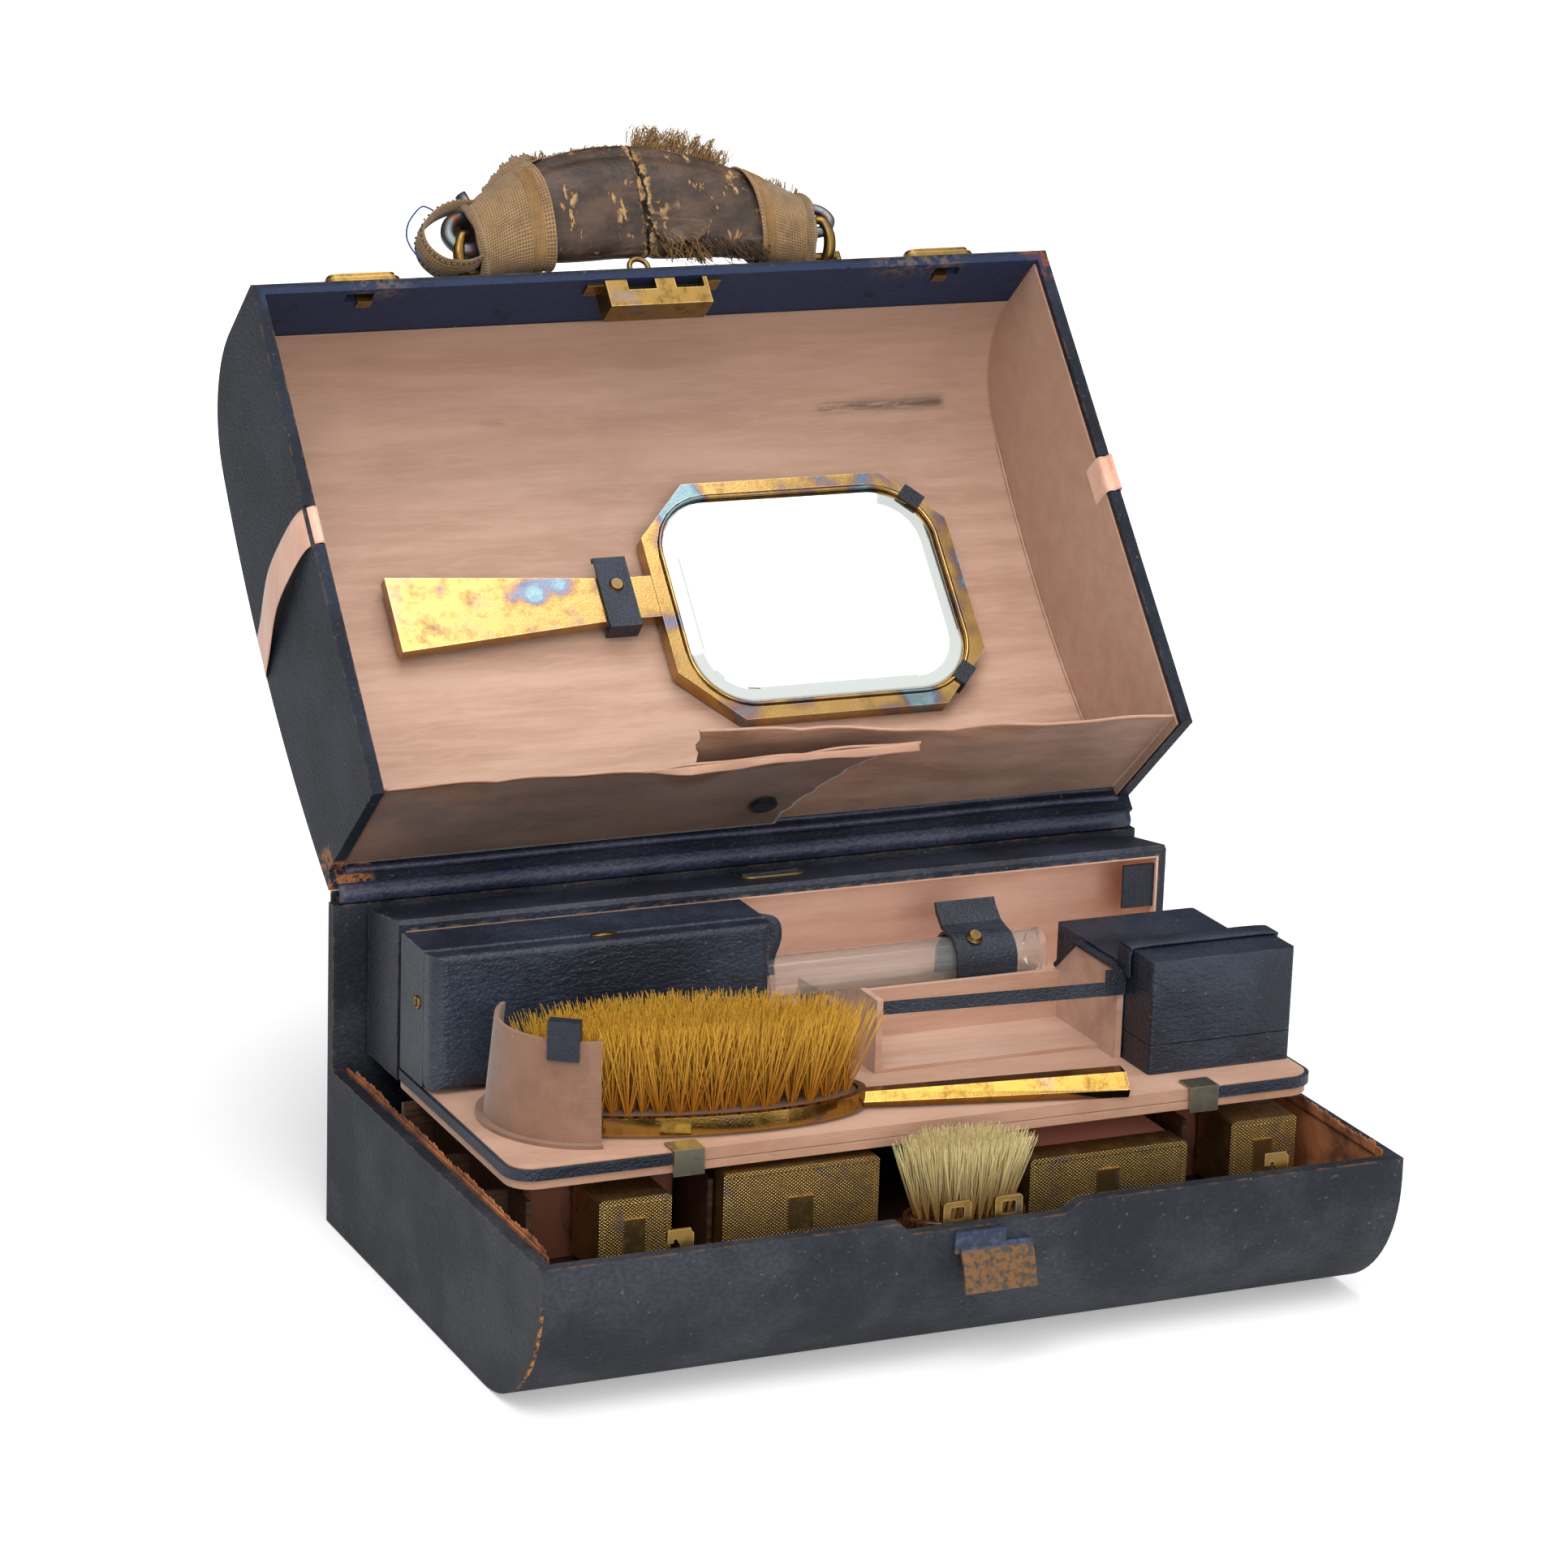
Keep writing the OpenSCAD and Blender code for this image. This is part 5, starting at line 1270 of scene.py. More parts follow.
@dataclass(frozen=True)
class Pocket:
    """The slack silk pocket beside the hinge: a right panel, and a left one torn off in front of it."""

    y: float = 106.3
    low_z: float = 132.4
    top_z: float = 66.6
    half: float = 168.6
    dip_x: float = -62.0
    dip_half: float = 48.0
    dip: float = 6.0
    strip_length: float = 116.0
    strip_width: float = 3.2

    def layer(self, left: np.ndarray, right: np.ndarray, dip: float, slack: float, proud: float) -> np.ndarray:
        """Returns the points of one hanging layer of the closed lid.

        Args:
            left: Place of the left edge at each height.
            right: Place of the right edge at each height.
            dip: How far the free edge sags.
            slack: How far the cloth bellies out.
            proud: How far it lies from the back of the lid towards the dome.

        Returns:
            Grid of rows, columns and three numbers, in millimetres.
        """
        u = np.linspace(0, 1, 110)[None, :]
        v = np.linspace(0, 1, len(left))[:, None]
        x = left[:, None] + (right - left)[:, None] * u
        ends = np.clip(1 - (x / self.half) ** 8, 0, 1)
        sag = dip * np.exp(-((x - self.dip_x) / self.dip_half) ** 2) + 1.2 * np.sin(0.031 * x + 0.8)
        top = self.top_z + ends * sag
        belly = slack * np.sin(math.pi * v) ** 0.8 * ends * (0.7 + 0.3 * np.sin(0.024 * x + 1.0))
        folds = ends * (1.1 * v**3 * np.sin(0.052 * x) + 0.45 * v * np.sin(0.14 * x + 5 * v))
        y = self.y - proud - np.abs(belly + folds)
        return grid_of(x, y, self.low_z + (top - self.low_z) * v)

    def make(self, look: Palette) -> None:
        """Builds both layers, their rolled edges and the pale hem that is turned forward.

        Args:
            look: The materials.
        """
        v = np.linspace(0, 1, 30)
        ragged = 0.7 * np.sin(34 * v) + 0.5 * np.sin(61 * v + 1)
        right_edge = 14 + 34 * v**1.6 + 7 * np.exp(-((v - 1) / 0.08) ** 2) + ragged
        back = self.layer(-26 - 12 * v + ragged, np.full(30, self.half), 0.5, 1.6, 2.0)
        away = np.exp(-((back[..., 0] + 30) / 85) ** 2) * np.clip((back[..., 0] + 60) / 20, 0, 1)
        back[..., 1] -= 9.0 * away * v[:, None] ** 2
        back[..., 2] -= 2.5 * away * v[:, None]
        front = self.layer(np.full(30, -self.half), right_edge, self.dip, 1.2, 0.0)
        # The torn left panel takes the dark silk, whose darkness is painted shade
        for name, grid, silk, nodes in (
            ("pocket_right", back, look.pocket_back, ["pocket"]), ("pocket_left", front, look.pocket, []),
        ):
            panel = surface(name, LID.turned(grid), 0.5)
            place(panel, silk, Body.LID)
            if nodes:
                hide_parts(*nodes)
            self.pressed(panel)
            hem = sweep(f"{name}_hem", LID.turned(grid[-1] + (0, 0, -0.3)), round_section(0.65, 8), up=(0, -0.7, 0.7))
            place(hem, look.silk, Body.LID)
            self.pressed(hem)
        self.make_strip(look)

    def pressed(self, piece: bpy.types.Object) -> None:
        """Gives a piece of the pocket its own copy of its mesh.

        Args:
            piece: The piece.
        """
        tuple(LID.direction(1))
        tuple(LID.turned((0.0, self.y, 100.0)) * MM)
        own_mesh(piece)

    def make_strip(self, look: Palette) -> None:
        """Builds the pale hem of the torn panel, turned forward along its free edge.

        Args:
            look: The materials.
        """
        u = np.linspace(0, 1, 90)[None, :]
        v = np.linspace(0, 1, 8)[:, None]
        x = self.dip_x + self.strip_length * u
        dip = self.dip * np.exp(-((x - self.dip_x) / self.dip_half) ** 2) + 1.2 * np.sin(0.031 * x + 0.8)
        wide = self.strip_width * np.clip(6 * u, 0, 1) * (0.85 + 0.15 * np.sin(9 * u))
        y = self.y - 0.2 + wide * v
        z = self.top_z + dip - 0.9 + 0.8 * v * np.sin(14 * u) ** 2 + 0.9 * v**2
        grid = grid_of(x + 0 * v, y, z)
        strip = surface("pocket_strip", LID.turned(grid), 0.4)
        place(strip, look.silk, Body.LID)
        self.pressed(strip)


@dataclass(frozen=True)
class Ribbon:
    """The satin ribbon round the dome: taut on the right, slack on the left."""

    y: float = -7.0
    width: float = 16.0
    half: float = 175.0
    rim_z: float = 64.4
    slant: float = 14.0

    def make(self, look: Palette) -> None:
        """Builds the ribbon and replaces the CAD one.

        Args:
            look: The materials.
        """
        top = float(LID.skin_z(np.array(self.y), 0.0)) + 0.5
        out = self.half + 0.5
        inner = self.half - 5.6
        back = self.y + self.slant
        right = curve_points([
            (inner, self.y, self.rim_z + 14), (inner, self.y, self.rim_z + 1.4),
            (self.half - 2.5, self.y, self.rim_z), (out, self.y, self.rim_z + 1), (out, self.y, 100),
            (out, self.y, top - 3), (out - 3, self.y, top),
        ], 70)
        left = curve_points([
            (-out + 3, back, top), (-out - 0.2, back, top - 3), (-out - 1.5, back - 3, top - 16),
            (-out - 4.0, back - 9, 108), (-out - 3.2, self.y + 2, 86), (-out - 0.8, self.y, 70),
            (-self.half + 2.5, self.y, self.rim_z), (-inner, self.y, self.rim_z + 1.4),
            (-inner, self.y, self.rim_z + 12),
        ], 80)
        over = right[-1] + (left[0] - right[-1]) * np.linspace(0, 1, 30)[1:-1, None]
        path = np.vstack([right, over, left])
        across = np.linspace(-0.5, 0.5, 9)
        grid = path[:, None] + np.array([0.0, self.width, 0.0]) * across[None, :, None]
        curl = 0.5 * (across**2)[None, :] * (np.abs(path[:, :1]) > self.half - 1)
        grid[..., 0] += curl * np.sign(grid[..., 0])
        ribbon = surface("ribbon_band", LID.turned(grid), 0.35)
        place(ribbon, look.satin, Body.LID)
        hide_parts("ribbon")


@dataclass(frozen=True)
class LidTrim:
    """Small rolled pieces inside the lid: the seams of its silk and the bead round the mirror."""

    seam_x: float = 168.6
    seam_inset: float = 6.3
    seam_radius: float = 0.55
    bead_middle: tuple[float, float] = (61.5, MIRROR_Y)
    bead_half: tuple[float, float] = (62.7, 48.7)
    bead_corner: float = 26.0
    bead_radius: float = 0.9
    mirror_half: float = 55.5
    mirror_inset: float = 6.1
    mirror_thick: float = 7.0

    def make(self, look: Palette) -> None:
        """Builds the seams and the bead.

        Args:
            look: The materials.
        """
        y = np.linspace(-66, 96, 70)
        z = LID.skin_z(y, self.seam_inset)
        for side in (-1, 1):
            path = grid_of(side * self.seam_x, y, z)
            seam = sweep(f"lid_seam_{side_name(side)}", LID.turned(path), round_section(self.seam_radius, 6))
            place(seam, look.silk, Body.LID)
        self.make_bead(look)

    def make_bead(self, look: Palette) -> None:
        """Builds the bead: the outline of a rectangle with rounded corners, on the mirror's tilted face.

        Each point is a corner's centre plus the corner's radius along the point's own direction.

        Args:
            look: The materials.
        """
        middle, half = np.array(self.bead_middle), np.array(self.bead_half)
        angle = full_turn(96)
        turn = np.stack([np.cos(angle), np.sin(angle)], -1)
        outline = middle + np.where(turn >= 0, 1, -1) * (half - self.bead_corner) + self.bead_corner * turn
        ends = LID.skin_z(middle[1] + np.array([-self.mirror_half, self.mirror_half]), self.mirror_inset)
        slope = (ends[1] - ends[0]) / (2 * self.mirror_half)
        height = ends.mean() - self.mirror_thick + (outline[:, 1] - middle[1]) * slope
        path = LID.turned(np.column_stack([outline, height]))
        bead = sweep("mirror_bead", path, round_section(self.bead_radius, 10), closed=True)
        place(bead, look.mirror_gilt, Body.LID)


@dataclass(frozen=True)
class Hinge:
    """The leather at the hinge: a gusset, and two soft folds beside it."""

    gusset_y: tuple[float, float] = (110.2, 111.6)
    gusset_z: tuple[float, float] = (131.7, 139.1)
    bend_z: tuple[float, float] = (131.9, 138.9)
    bulge: float = 2.1
    folds: tuple[tuple[float, float], ...] = ((109.6, 1.5), (104.8, 1.1))
    fold_inset: float = 6.5

    def make(self, look: Palette) -> None:
        """Builds the gusset, an arc between the back wall's top and the lid's edge, and the folds.

        Args:
            look: The materials.
        """
        x = np.linspace(-172.5, 172.5, 120)[None, :]
        v = np.linspace(0, 1, 9)[:, None]
        bulge = self.bulge * np.sin(math.pi * v) * (1 + 0.1 * np.sin(0.09 * x))
        (y0, y1), (z0, z1) = self.gusset_y, self.gusset_z
        gusset = surface("hinge_gusset", grid_of(x, y0 + (y1 - y0) * v - bulge, z0 + (z1 - z0) * v), 0.9)
        paint(gusset, look.hinge_leather)
        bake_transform(gusset)
        log.info("made %s, which bends with the lid", gusset.name)
        along = np.linspace(-168.5, 168.5, 110)
        for k, (fold_y, radius) in enumerate(self.folds):
            height = LID.skin_z(np.full_like(along, fold_y), self.fold_inset) - 0.25 * np.sin(0.05 * along + k)
            path = LID.turned(grid_of(along, fold_y + 0.3 * np.sin(0.04 * along), height))
            fold = sweep(f"hinge_fold_{k + 1}", path, round_section(radius, 12))
            place(fold, look.hinge_leather, Body.LID)
            seat = LID.turned((0.0, fold_y, float(height.mean()) + radius))
            tuple(LID.direction(2))
            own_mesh(fold)


@dataclass(frozen=True)
class TornPaper:
    """The torn edges of the brown paper that stand above the side walls."""

    x: float = 168.8
    foot_z: float = 62.0
    rise: float = 3.4

    def make(self, look: Palette) -> None:
        """Builds both edges.

        Args:
            look: The materials.
        """
        y = np.linspace(-104, 100, 320)[None, :]
        v = np.linspace(0, 1, 5)[:, None]
        for side in (-1, 1):
            torn = 1.3 + 0.5 * np.sin(0.11 * y + side) + 0.35 * np.sin(0.73 * y) + 0.3 * np.sin(1.9 * y + 2 * side)
            curl = 0.3 * v**2 * np.sin(0.2 * y)
            grid = grid_of(side * (self.x - curl), y, self.foot_z + (self.rise + torn) * v)
            strip = surface(f"paper_edge_{side_name(side)}", grid, 0.3)
            place(strip, look.paper, Body.CASE)
            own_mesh(strip)


# The carrying handle

@dataclass(frozen=True)
class Handle:
    """The worn carrying handle, drawn about its pivot line."""

    pivot_y: float = -125.0
    pivot_z: float = 79.0
    span: float = 160.0
    rise: float = 27.0
    foot: float = 9.0
    thick: float = 19.0
    end_thick: float = 12.0
    sag: float = 14.0
    flat: float = 0.82

    def placed(self, points: np.ndarray) -> np.ndarray:
        """Returns points given as x, distance outwards and distance down the lid's front at their places."""
        p = np.asarray(points, float)
        return LID.turned(np.stack([p[..., 0], self.pivot_y - p[..., 1], self.pivot_z - p[..., 2]], -1))

    def line(self, x: np.ndarray) -> np.ndarray:
        """Returns the height of the grip's middle line, a little higher on the left."""
        share = x / (self.span / 2)
        return self.foot + self.rise * (1 - share**2) - 3.0 * share * (1 - share**2)

    def half_thick(self, x: np.ndarray) -> np.ndarray:
        """Returns the grip's half thickness."""
        share = np.cos(np.clip(x / (self.span / 2), -1, 1) * math.pi / 2)
        return self.end_thick + (self.thick - self.end_thick) * np.maximum(share, 0) ** 0.8

    def belly(self, x: np.ndarray) -> np.ndarray:
        """Returns how far the slack underside hangs below the round grip."""
        share = np.clip(x / (self.span / 2 + 8), -1, 1)
        return (self.sag - 2.0 * share) * np.maximum(np.cos(share * math.pi / 2), 0) ** 1.2

    def skin(self, x: np.ndarray, a: np.ndarray, proud: np.ndarray | float) -> np.ndarray:
        """Returns points of the grip's skin, round above and hanging below.

        The distance outwards is the middle line's plus the cosine of the angle times the half thickness, to
        which the belly is added below. The depth is the sine times the half thickness, a little flattened.

        Args:
            x: Places along the grip.
            a: Angles from the top towards the front.
            proud: How far the points stand outside the grip.

        Returns:
            Three numbers for each point: x, distance outwards and distance downwards.
        """
        r = self.half_thick(x) + proud
        down = self.belly(x) * np.maximum(-np.cos(a), 0) ** 1.3
        return grid_of(x, self.line(x) + (r + down) * np.cos(a), self.flat * r * np.sin(a))

    def shell(self, x: np.ndarray, proud: np.ndarray | float, sides: int) -> np.ndarray:
        """Returns rings of points round the grip, at places x and proud millimetres outside it."""
        return self.skin(x[:, None], full_turn(sides)[None, :], proud)

    def make(self, look: Palette) -> None:
        """Builds all the pieces of the handle.

        Args:
            look: The materials.
        """
        self.make_grip(look)
        for side in (-1, 1):
            self.make_winding(look, side)
            self.make_mouth(look, side)
            self.make_hook(look, side)
        self.make_loop(look)
        self.make_torn_cover(look)
        self.make_torn_flap(look)
        self.make_frays(look)
        self.make_thread(look)

    def make_grip(self, look: Palette) -> None:
        """Builds the stuffed leather grip with its long ridge, its folds and its open crack.

        Args:
            look: The materials.
        """
        x = np.linspace(-66, 66, 200)
        a = full_turn(64)[None, :]
        col = x[:, None]
        folds = 0.35 * np.sin(col * 0.16 + 2 * np.sin(a)) * np.sin(2 * a + 0.5)
        folds = folds + 1.1 * np.exp(-((a - 0.62 - 0.06 * np.sin(0.05 * col)) / 0.2) ** 2)
        folds = folds - 1.0 * np.exp(-((a - 1.0 - 0.05 * np.sin(0.07 * col + 1)) / 0.13) ** 2)
        folds = folds + 0.9 * np.exp(-((a - 1.9 - 0.1 * np.sin(0.06 * col)) / 0.25) ** 2) * np.cos(col * 0.05 + 0.4)
        crack = np.exp(-((col - 2 - 1.4 * np.sin(2.5 * a)) / 0.9) ** 2) * (0.4 + 0.6 * (np.abs(a - 1.3) < 1.1))
        rings = self.shell(x, folds - 3.0 * crack - 0.8, 64)
        faces = quads(len(x), 64, closed=True).tolist()
        faces += [list(range(64))[::-1], list(range(64 * (len(x) - 1), 64 * len(x)))]
        grip = new_mesh("grip_leather", self.placed(rings), faces)
        place(grip, look.grip, Body.HANDLE)
        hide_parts("handle_grip")

    def make_winding(self, look: Palette, side: int) -> None:
        """Builds the canvas sleeve round one end of the grip, with the thread wound over its inner edge.

        Args:
            look: The materials.
            side: -1 on the left, 1 on the right.
        """
        name = side_name(side)
        inner = 42.0 if side < 0 else 49.0
        x = side * np.linspace(inner, 73.0, 60)
        turn = 0.25 * np.abs(np.sin(np.abs(x) * 0.55))[:, None]
        edge = 0.5 * np.exp(-((np.abs(x) - inner) / 2.0) ** 2)[:, None]
        rings = self.shell(x, 1.3 + turn + edge, 56)
        skew = 2.2 * np.cos(full_turn(56) + 0.6)[None, :]
        rings[:, :, 0] -= skew * np.clip(1 - (np.abs(x) - inner)[:, None] / 14, 0, 1)
        obj = new_mesh(f"winding_{name}", self.placed(rings), quads(60, 56, closed=True))
        u, v = np.meshgrid(np.linspace(0, 100, 56), np.abs(x))
        set_uv(obj, np.stack([u, v], -1).reshape(-1, 2))
        solid(obj, 0.9)
        place(obj, look.canvas, Body.HANDLE)
        if side < 0:
            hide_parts("handle_wraps")
        t = np.linspace(0, 2 * math.pi * 7, 560)
        at = side * (inner + 2.0 + 7.0 * t / t[-1] + 0.5 * np.sin(t * 0.9))
        coil = self.placed(self.skin(at, t, 2.0))
        wound = sweep(f"wound_thread_{name}", coil, round_section(0.32, 5), up=(1, 0, 0.01))
        place(wound, look.thread, Body.HANDLE)

    def make_mouth(self, look: Palette, side: int) -> None:
        """Builds the open end of one sleeve: its rolled edge and, behind it, a dark sheet that is painted shade in
        the hollow.

        Args:
            look: The materials.
            side: -1 on the left, 1 on the right.
        """
        name = side_name(side)
        x = np.array([side * 73.5])
        ring = self.shell(x, 1.6, 60)[0]
        ring[:, 0] += side * 1.6 * np.cos(full_turn(60))
        scale = 1.0 + 0.14 * np.sin(np.linspace(0, 14 * math.pi, 60, endpoint=False))
        lip = sweep(
            f"mouth_{name}", self.placed(ring), round_section(2.0, 12), scale=scale, up=(1, 0, 0), closed=True,
        )
        place(lip, look.canvas, Body.HANDLE)
        share = np.array([0.98, 0.8, 0.4, 0.0])[:, None, None]
        middle = ring.mean(axis=0)
        bowl = middle + (ring - middle)[None] * share
        bowl[..., 0] -= side * np.array([0.0, 4.0, 6.0, 6.5])[:, None]
        # A dark bowl closing the sleeve, painted shade
        hollow_shade = new_mesh(f"hollow_{name}", self.placed(bowl), quads(4, 60, closed=True))
        place(hollow_shade, look.hollow_shade, Body.HANDLE)

    def make_hook(self, look: Palette, side: int) -> None:
        """Builds the iron ring inside one end of the handle and the brass hook that holds it.

        Args:
            look: The materials.
            side: -1 on the left, 1 on the right.
        """
        name = side_name(side)
        size = 1.0 if side < 0 else 0.8
        points = np.array([
            (-66, 21, 1), (-73, 23.5, 3), (-81, 21, 5), (-84.5, 14, 6), (-81, 8, 6), (-75, 7.5, 5), (-68, 11, 2),
        ])
        points[:, 0] *= -side
        points[:, 1] = 15 + (points[:, 1] - 15) * size
        bent = self.placed(curve_points(points.tolist(), 60))
        ring = sweep(f"iron_ring_{name}", bent, round_section(3.0 * size, 14), up=LID_OUTWARD)
        place(ring, look.iron, Body.HANDLE)
        path = curve_points([
            (side * 80, -3.4, -1), (side * 81.5, 0, 3.4), (side * 82, 6, 7), (side * 80, 12, 8.6),
            (side * 76.5, 13.5, 7.5),
        ], 40)
        taper = np.interp(np.linspace(0, 1, 40), [0, 0.5, 1], [1.25, 1.1, 0.7])
        hook = sweep(f"hook_{name}", self.placed(path), round_section(2.3, 14), scale=taper, up=(1, 0, 0))
        place(hook, look.brass, Body.HANDLE)
        if side < 0:
            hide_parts("handle_ends")

    def make_loop(self, look: Palette) -> None:
        """Builds the slack canvas loop at the left end, its sewn edge and the dark pin.

        Args:
            look: The materials.
        """
        path = curve_points([
            (-71, 29, 3), (-80, 27.5, 5), (-89, 23, 6), (-96.5, 15, 7), (-97, 6, 7), (-91, -0.5, 6), (-82, -1.5, 5),
            (-74, 1.5, 4), (-69, 6, 3),
        ], 90)
        width = np.interp(np.linspace(0, 1, 90), [0, 0.4, 0.7, 1], [0.8, 1.0, 1.15, 0.9])
        loop = sweep("cuff_loop", self.placed(path), flat_section(2.2, 13.0), scale=width, up=LID_OUTWARD)
        place(loop, look.canvas, Body.HANDLE)
        for k, offset in enumerate((5.4, -4.6)):
            shift = path.copy()
            shift[:, 2] += offset * width
            middle = shift[:, :2].mean(axis=0)
            away = shift[:, :2] - middle
            shift[:, :2] += 0.9 * away / np.linalg.norm(away, axis=1, keepdims=True)
            placed = self.placed(shift)
            sewing = strands(f"cuff_sewing_{k + 1}", placed[2:-3:3], placed[3:-2:3], 0.4, 0.4, 0.0, 61 + k)
            place(sewing, look.dark_thread, Body.HANDLE)
        pin = sweep(
            "cuff_pin", self.placed(np.array([(-69.0, 27.0, 2.0), (-71.5, 32.0, 2.0), (-73.0, 35.5, 2.0)])),
            round_section(2.6, 16), scale=np.array([0.85, 0.85, 1.0]), up=LID_OUTWARD,
        )
        place(pin, look.iron, Body.HANDLE)

    def make_torn_cover(self, look: Palette) -> None:
        """Builds the canvas that is torn loose along the top: it follows the grip and then stands up from it.

        Args:
            look: The materials.
        """
        rags = ((-62.0, -34.0, 8.0, 0.5), (-33.0, -4.0, 1.8, 0.3), (-3.0, 44.0, 1.5, 0.3))
        for k, (x0, x1, lift, start) in enumerate(rags):
            x = np.linspace(x0, x1, 90)
            v = np.linspace(0, 1, 10)
            u = (x - x0) / (x1 - x0)
            tear = lift * (0.3 + 0.75 * np.sin(math.pi * u**1.5) ** 0.8)
            tear = tear * (1 + 0.1 * np.sin(1.1 * x) + 0.08 * np.sin(3.7 * x + 1))
            angle = start - 2 * (start + 0.05) * np.minimum(v, 0.5)
            grid = self.skin(x[:, None], angle[None, :], 1.6 if k == 0 else 0.5)
            rise = np.maximum(v - 0.5, 0)[None, :] * 2
            grid[..., 1] += tear[:, None] * rise
            grid[..., 2] -= 0.25 * tear[:, None] * rise**2
            cover = surface(f"torn_cover_{k + 1}", self.placed(grid), 0.5)
            place(cover, look.canvas, Body.HANDLE)

    def make_torn_flap(self, look: Palette) -> None:
        """Builds the strip of the grip's leather that hangs loose below the crack.

        Args:
            look: The materials.
        """
        x = np.linspace(3, 27, 50)
        v = np.linspace(0, 1, 9)
        u = (x - 3) / 24
        drop = 7.5 * np.sin(math.pi * u**0.7) ** 0.6 * (1 + 0.12 * np.sin(2.3 * x)) + 0.6
        grid = self.skin(x[:, None], 2.35 + 0.35 * np.minimum(v, 0.4)[None, :], 0.3)
        rise = np.maximum(v - 0.4, 0)[None, :] / 0.6
        grid[..., 1] -= drop[:, None] * rise
        grid[..., 2] += 1.4 * rise * np.sin(0.5 * x)[:, None]
        flap = surface("torn_flap", self.placed(grid), 0.8)
        place(flap, look.grip, Body.HANDLE)

    def make_frays(self, look: Palette) -> None:
        """Builds the loose threads above and below the grip, in locks.

        Args:
            look: The materials.
        """
        for name, count, locks, span, around, low, high, lean, seed, dark in (
            ("frays_top_right", 520, 40, (8, 45), 0.0, 6.0, 16.0, 0.35, 11, False),
            ("fuzz_top", 420, 120, (-36, 12), 0.02, 1.2, 3.4, 0.1, 21, False),
            ("frays_below", 300, 60, (16, 52), 2.75, 4.0, 10.0, 0.3, 31, True),
            ("frays_left", 40, 9, (-39, -33), 0.0, 4.0, 9.0, 0.5, 51, False),
            ("frays_flap", 90, 20, (4, 26), 2.7, 8.0, 13.0, 0.0, 61, False),
            ("frays_right_end", 60, 14, (60, 75), 0.4, 2.0, 6.0, 0.4, 71, False),
        ):
            home = span[0] + (span[1] - span[0]) * (np.arange(locks) + unit_hash(locks, seed)) / locks
            lock = (unit_hash(count, seed + 1) * locks).astype(int)
            x = home[lock] + 0.7 * (unit_hash(count, seed + 2) - 0.5)
            a = around + 0.25 * (unit_hash(locks, seed + 3)[lock] - 0.5) + 0.08 * (unit_hash(count, seed + 6) - 0.5)
            reach = low + (high - low) * unit_hash(locks, seed + 4)[lock]
            reach = reach * (0.75 + 0.25 * unit_hash(count, seed + 5))
            base = self.skin(x, a, 0.3)
            way = lean + 0.9 * (unit_hash(locks, seed + 7)[lock] - 0.5) + 0.25 * (unit_hash(count, seed + 8) - 0.5)
            out = np.stack([way, np.cos(a), 0.6 * np.sin(a)], -1)
            tips = base + out * reach[:, None]
            obj = strands(name, self.placed(base), self.placed(tips), 0.23, 0.13, 0.22 * high, seed + 9)
            place(obj, look.dark_thread if dark else look.thread, Body.HANDLE)

    def make_thread(self, look: Palette) -> None:
        """Builds the blue thread that hangs from the left cuff.

        Args:
            look: The materials.
        """
        path = self.placed(curve_points([
            (-91, 23, 12), (-95, 24, 13), (-99, 21, 13), (-103, 16, 13), (-105, 10, 13), (-104, 4, 13),
            (-101, -1, 12.5),
        ], 24))
        thread = sweep("blue_thread", path, round_section(0.4, 6), up=(0.2, 0.6, -0.7))
        place(thread, look.blue_thread, Body.HANDLE)


# Small leather and metal pieces on the tray

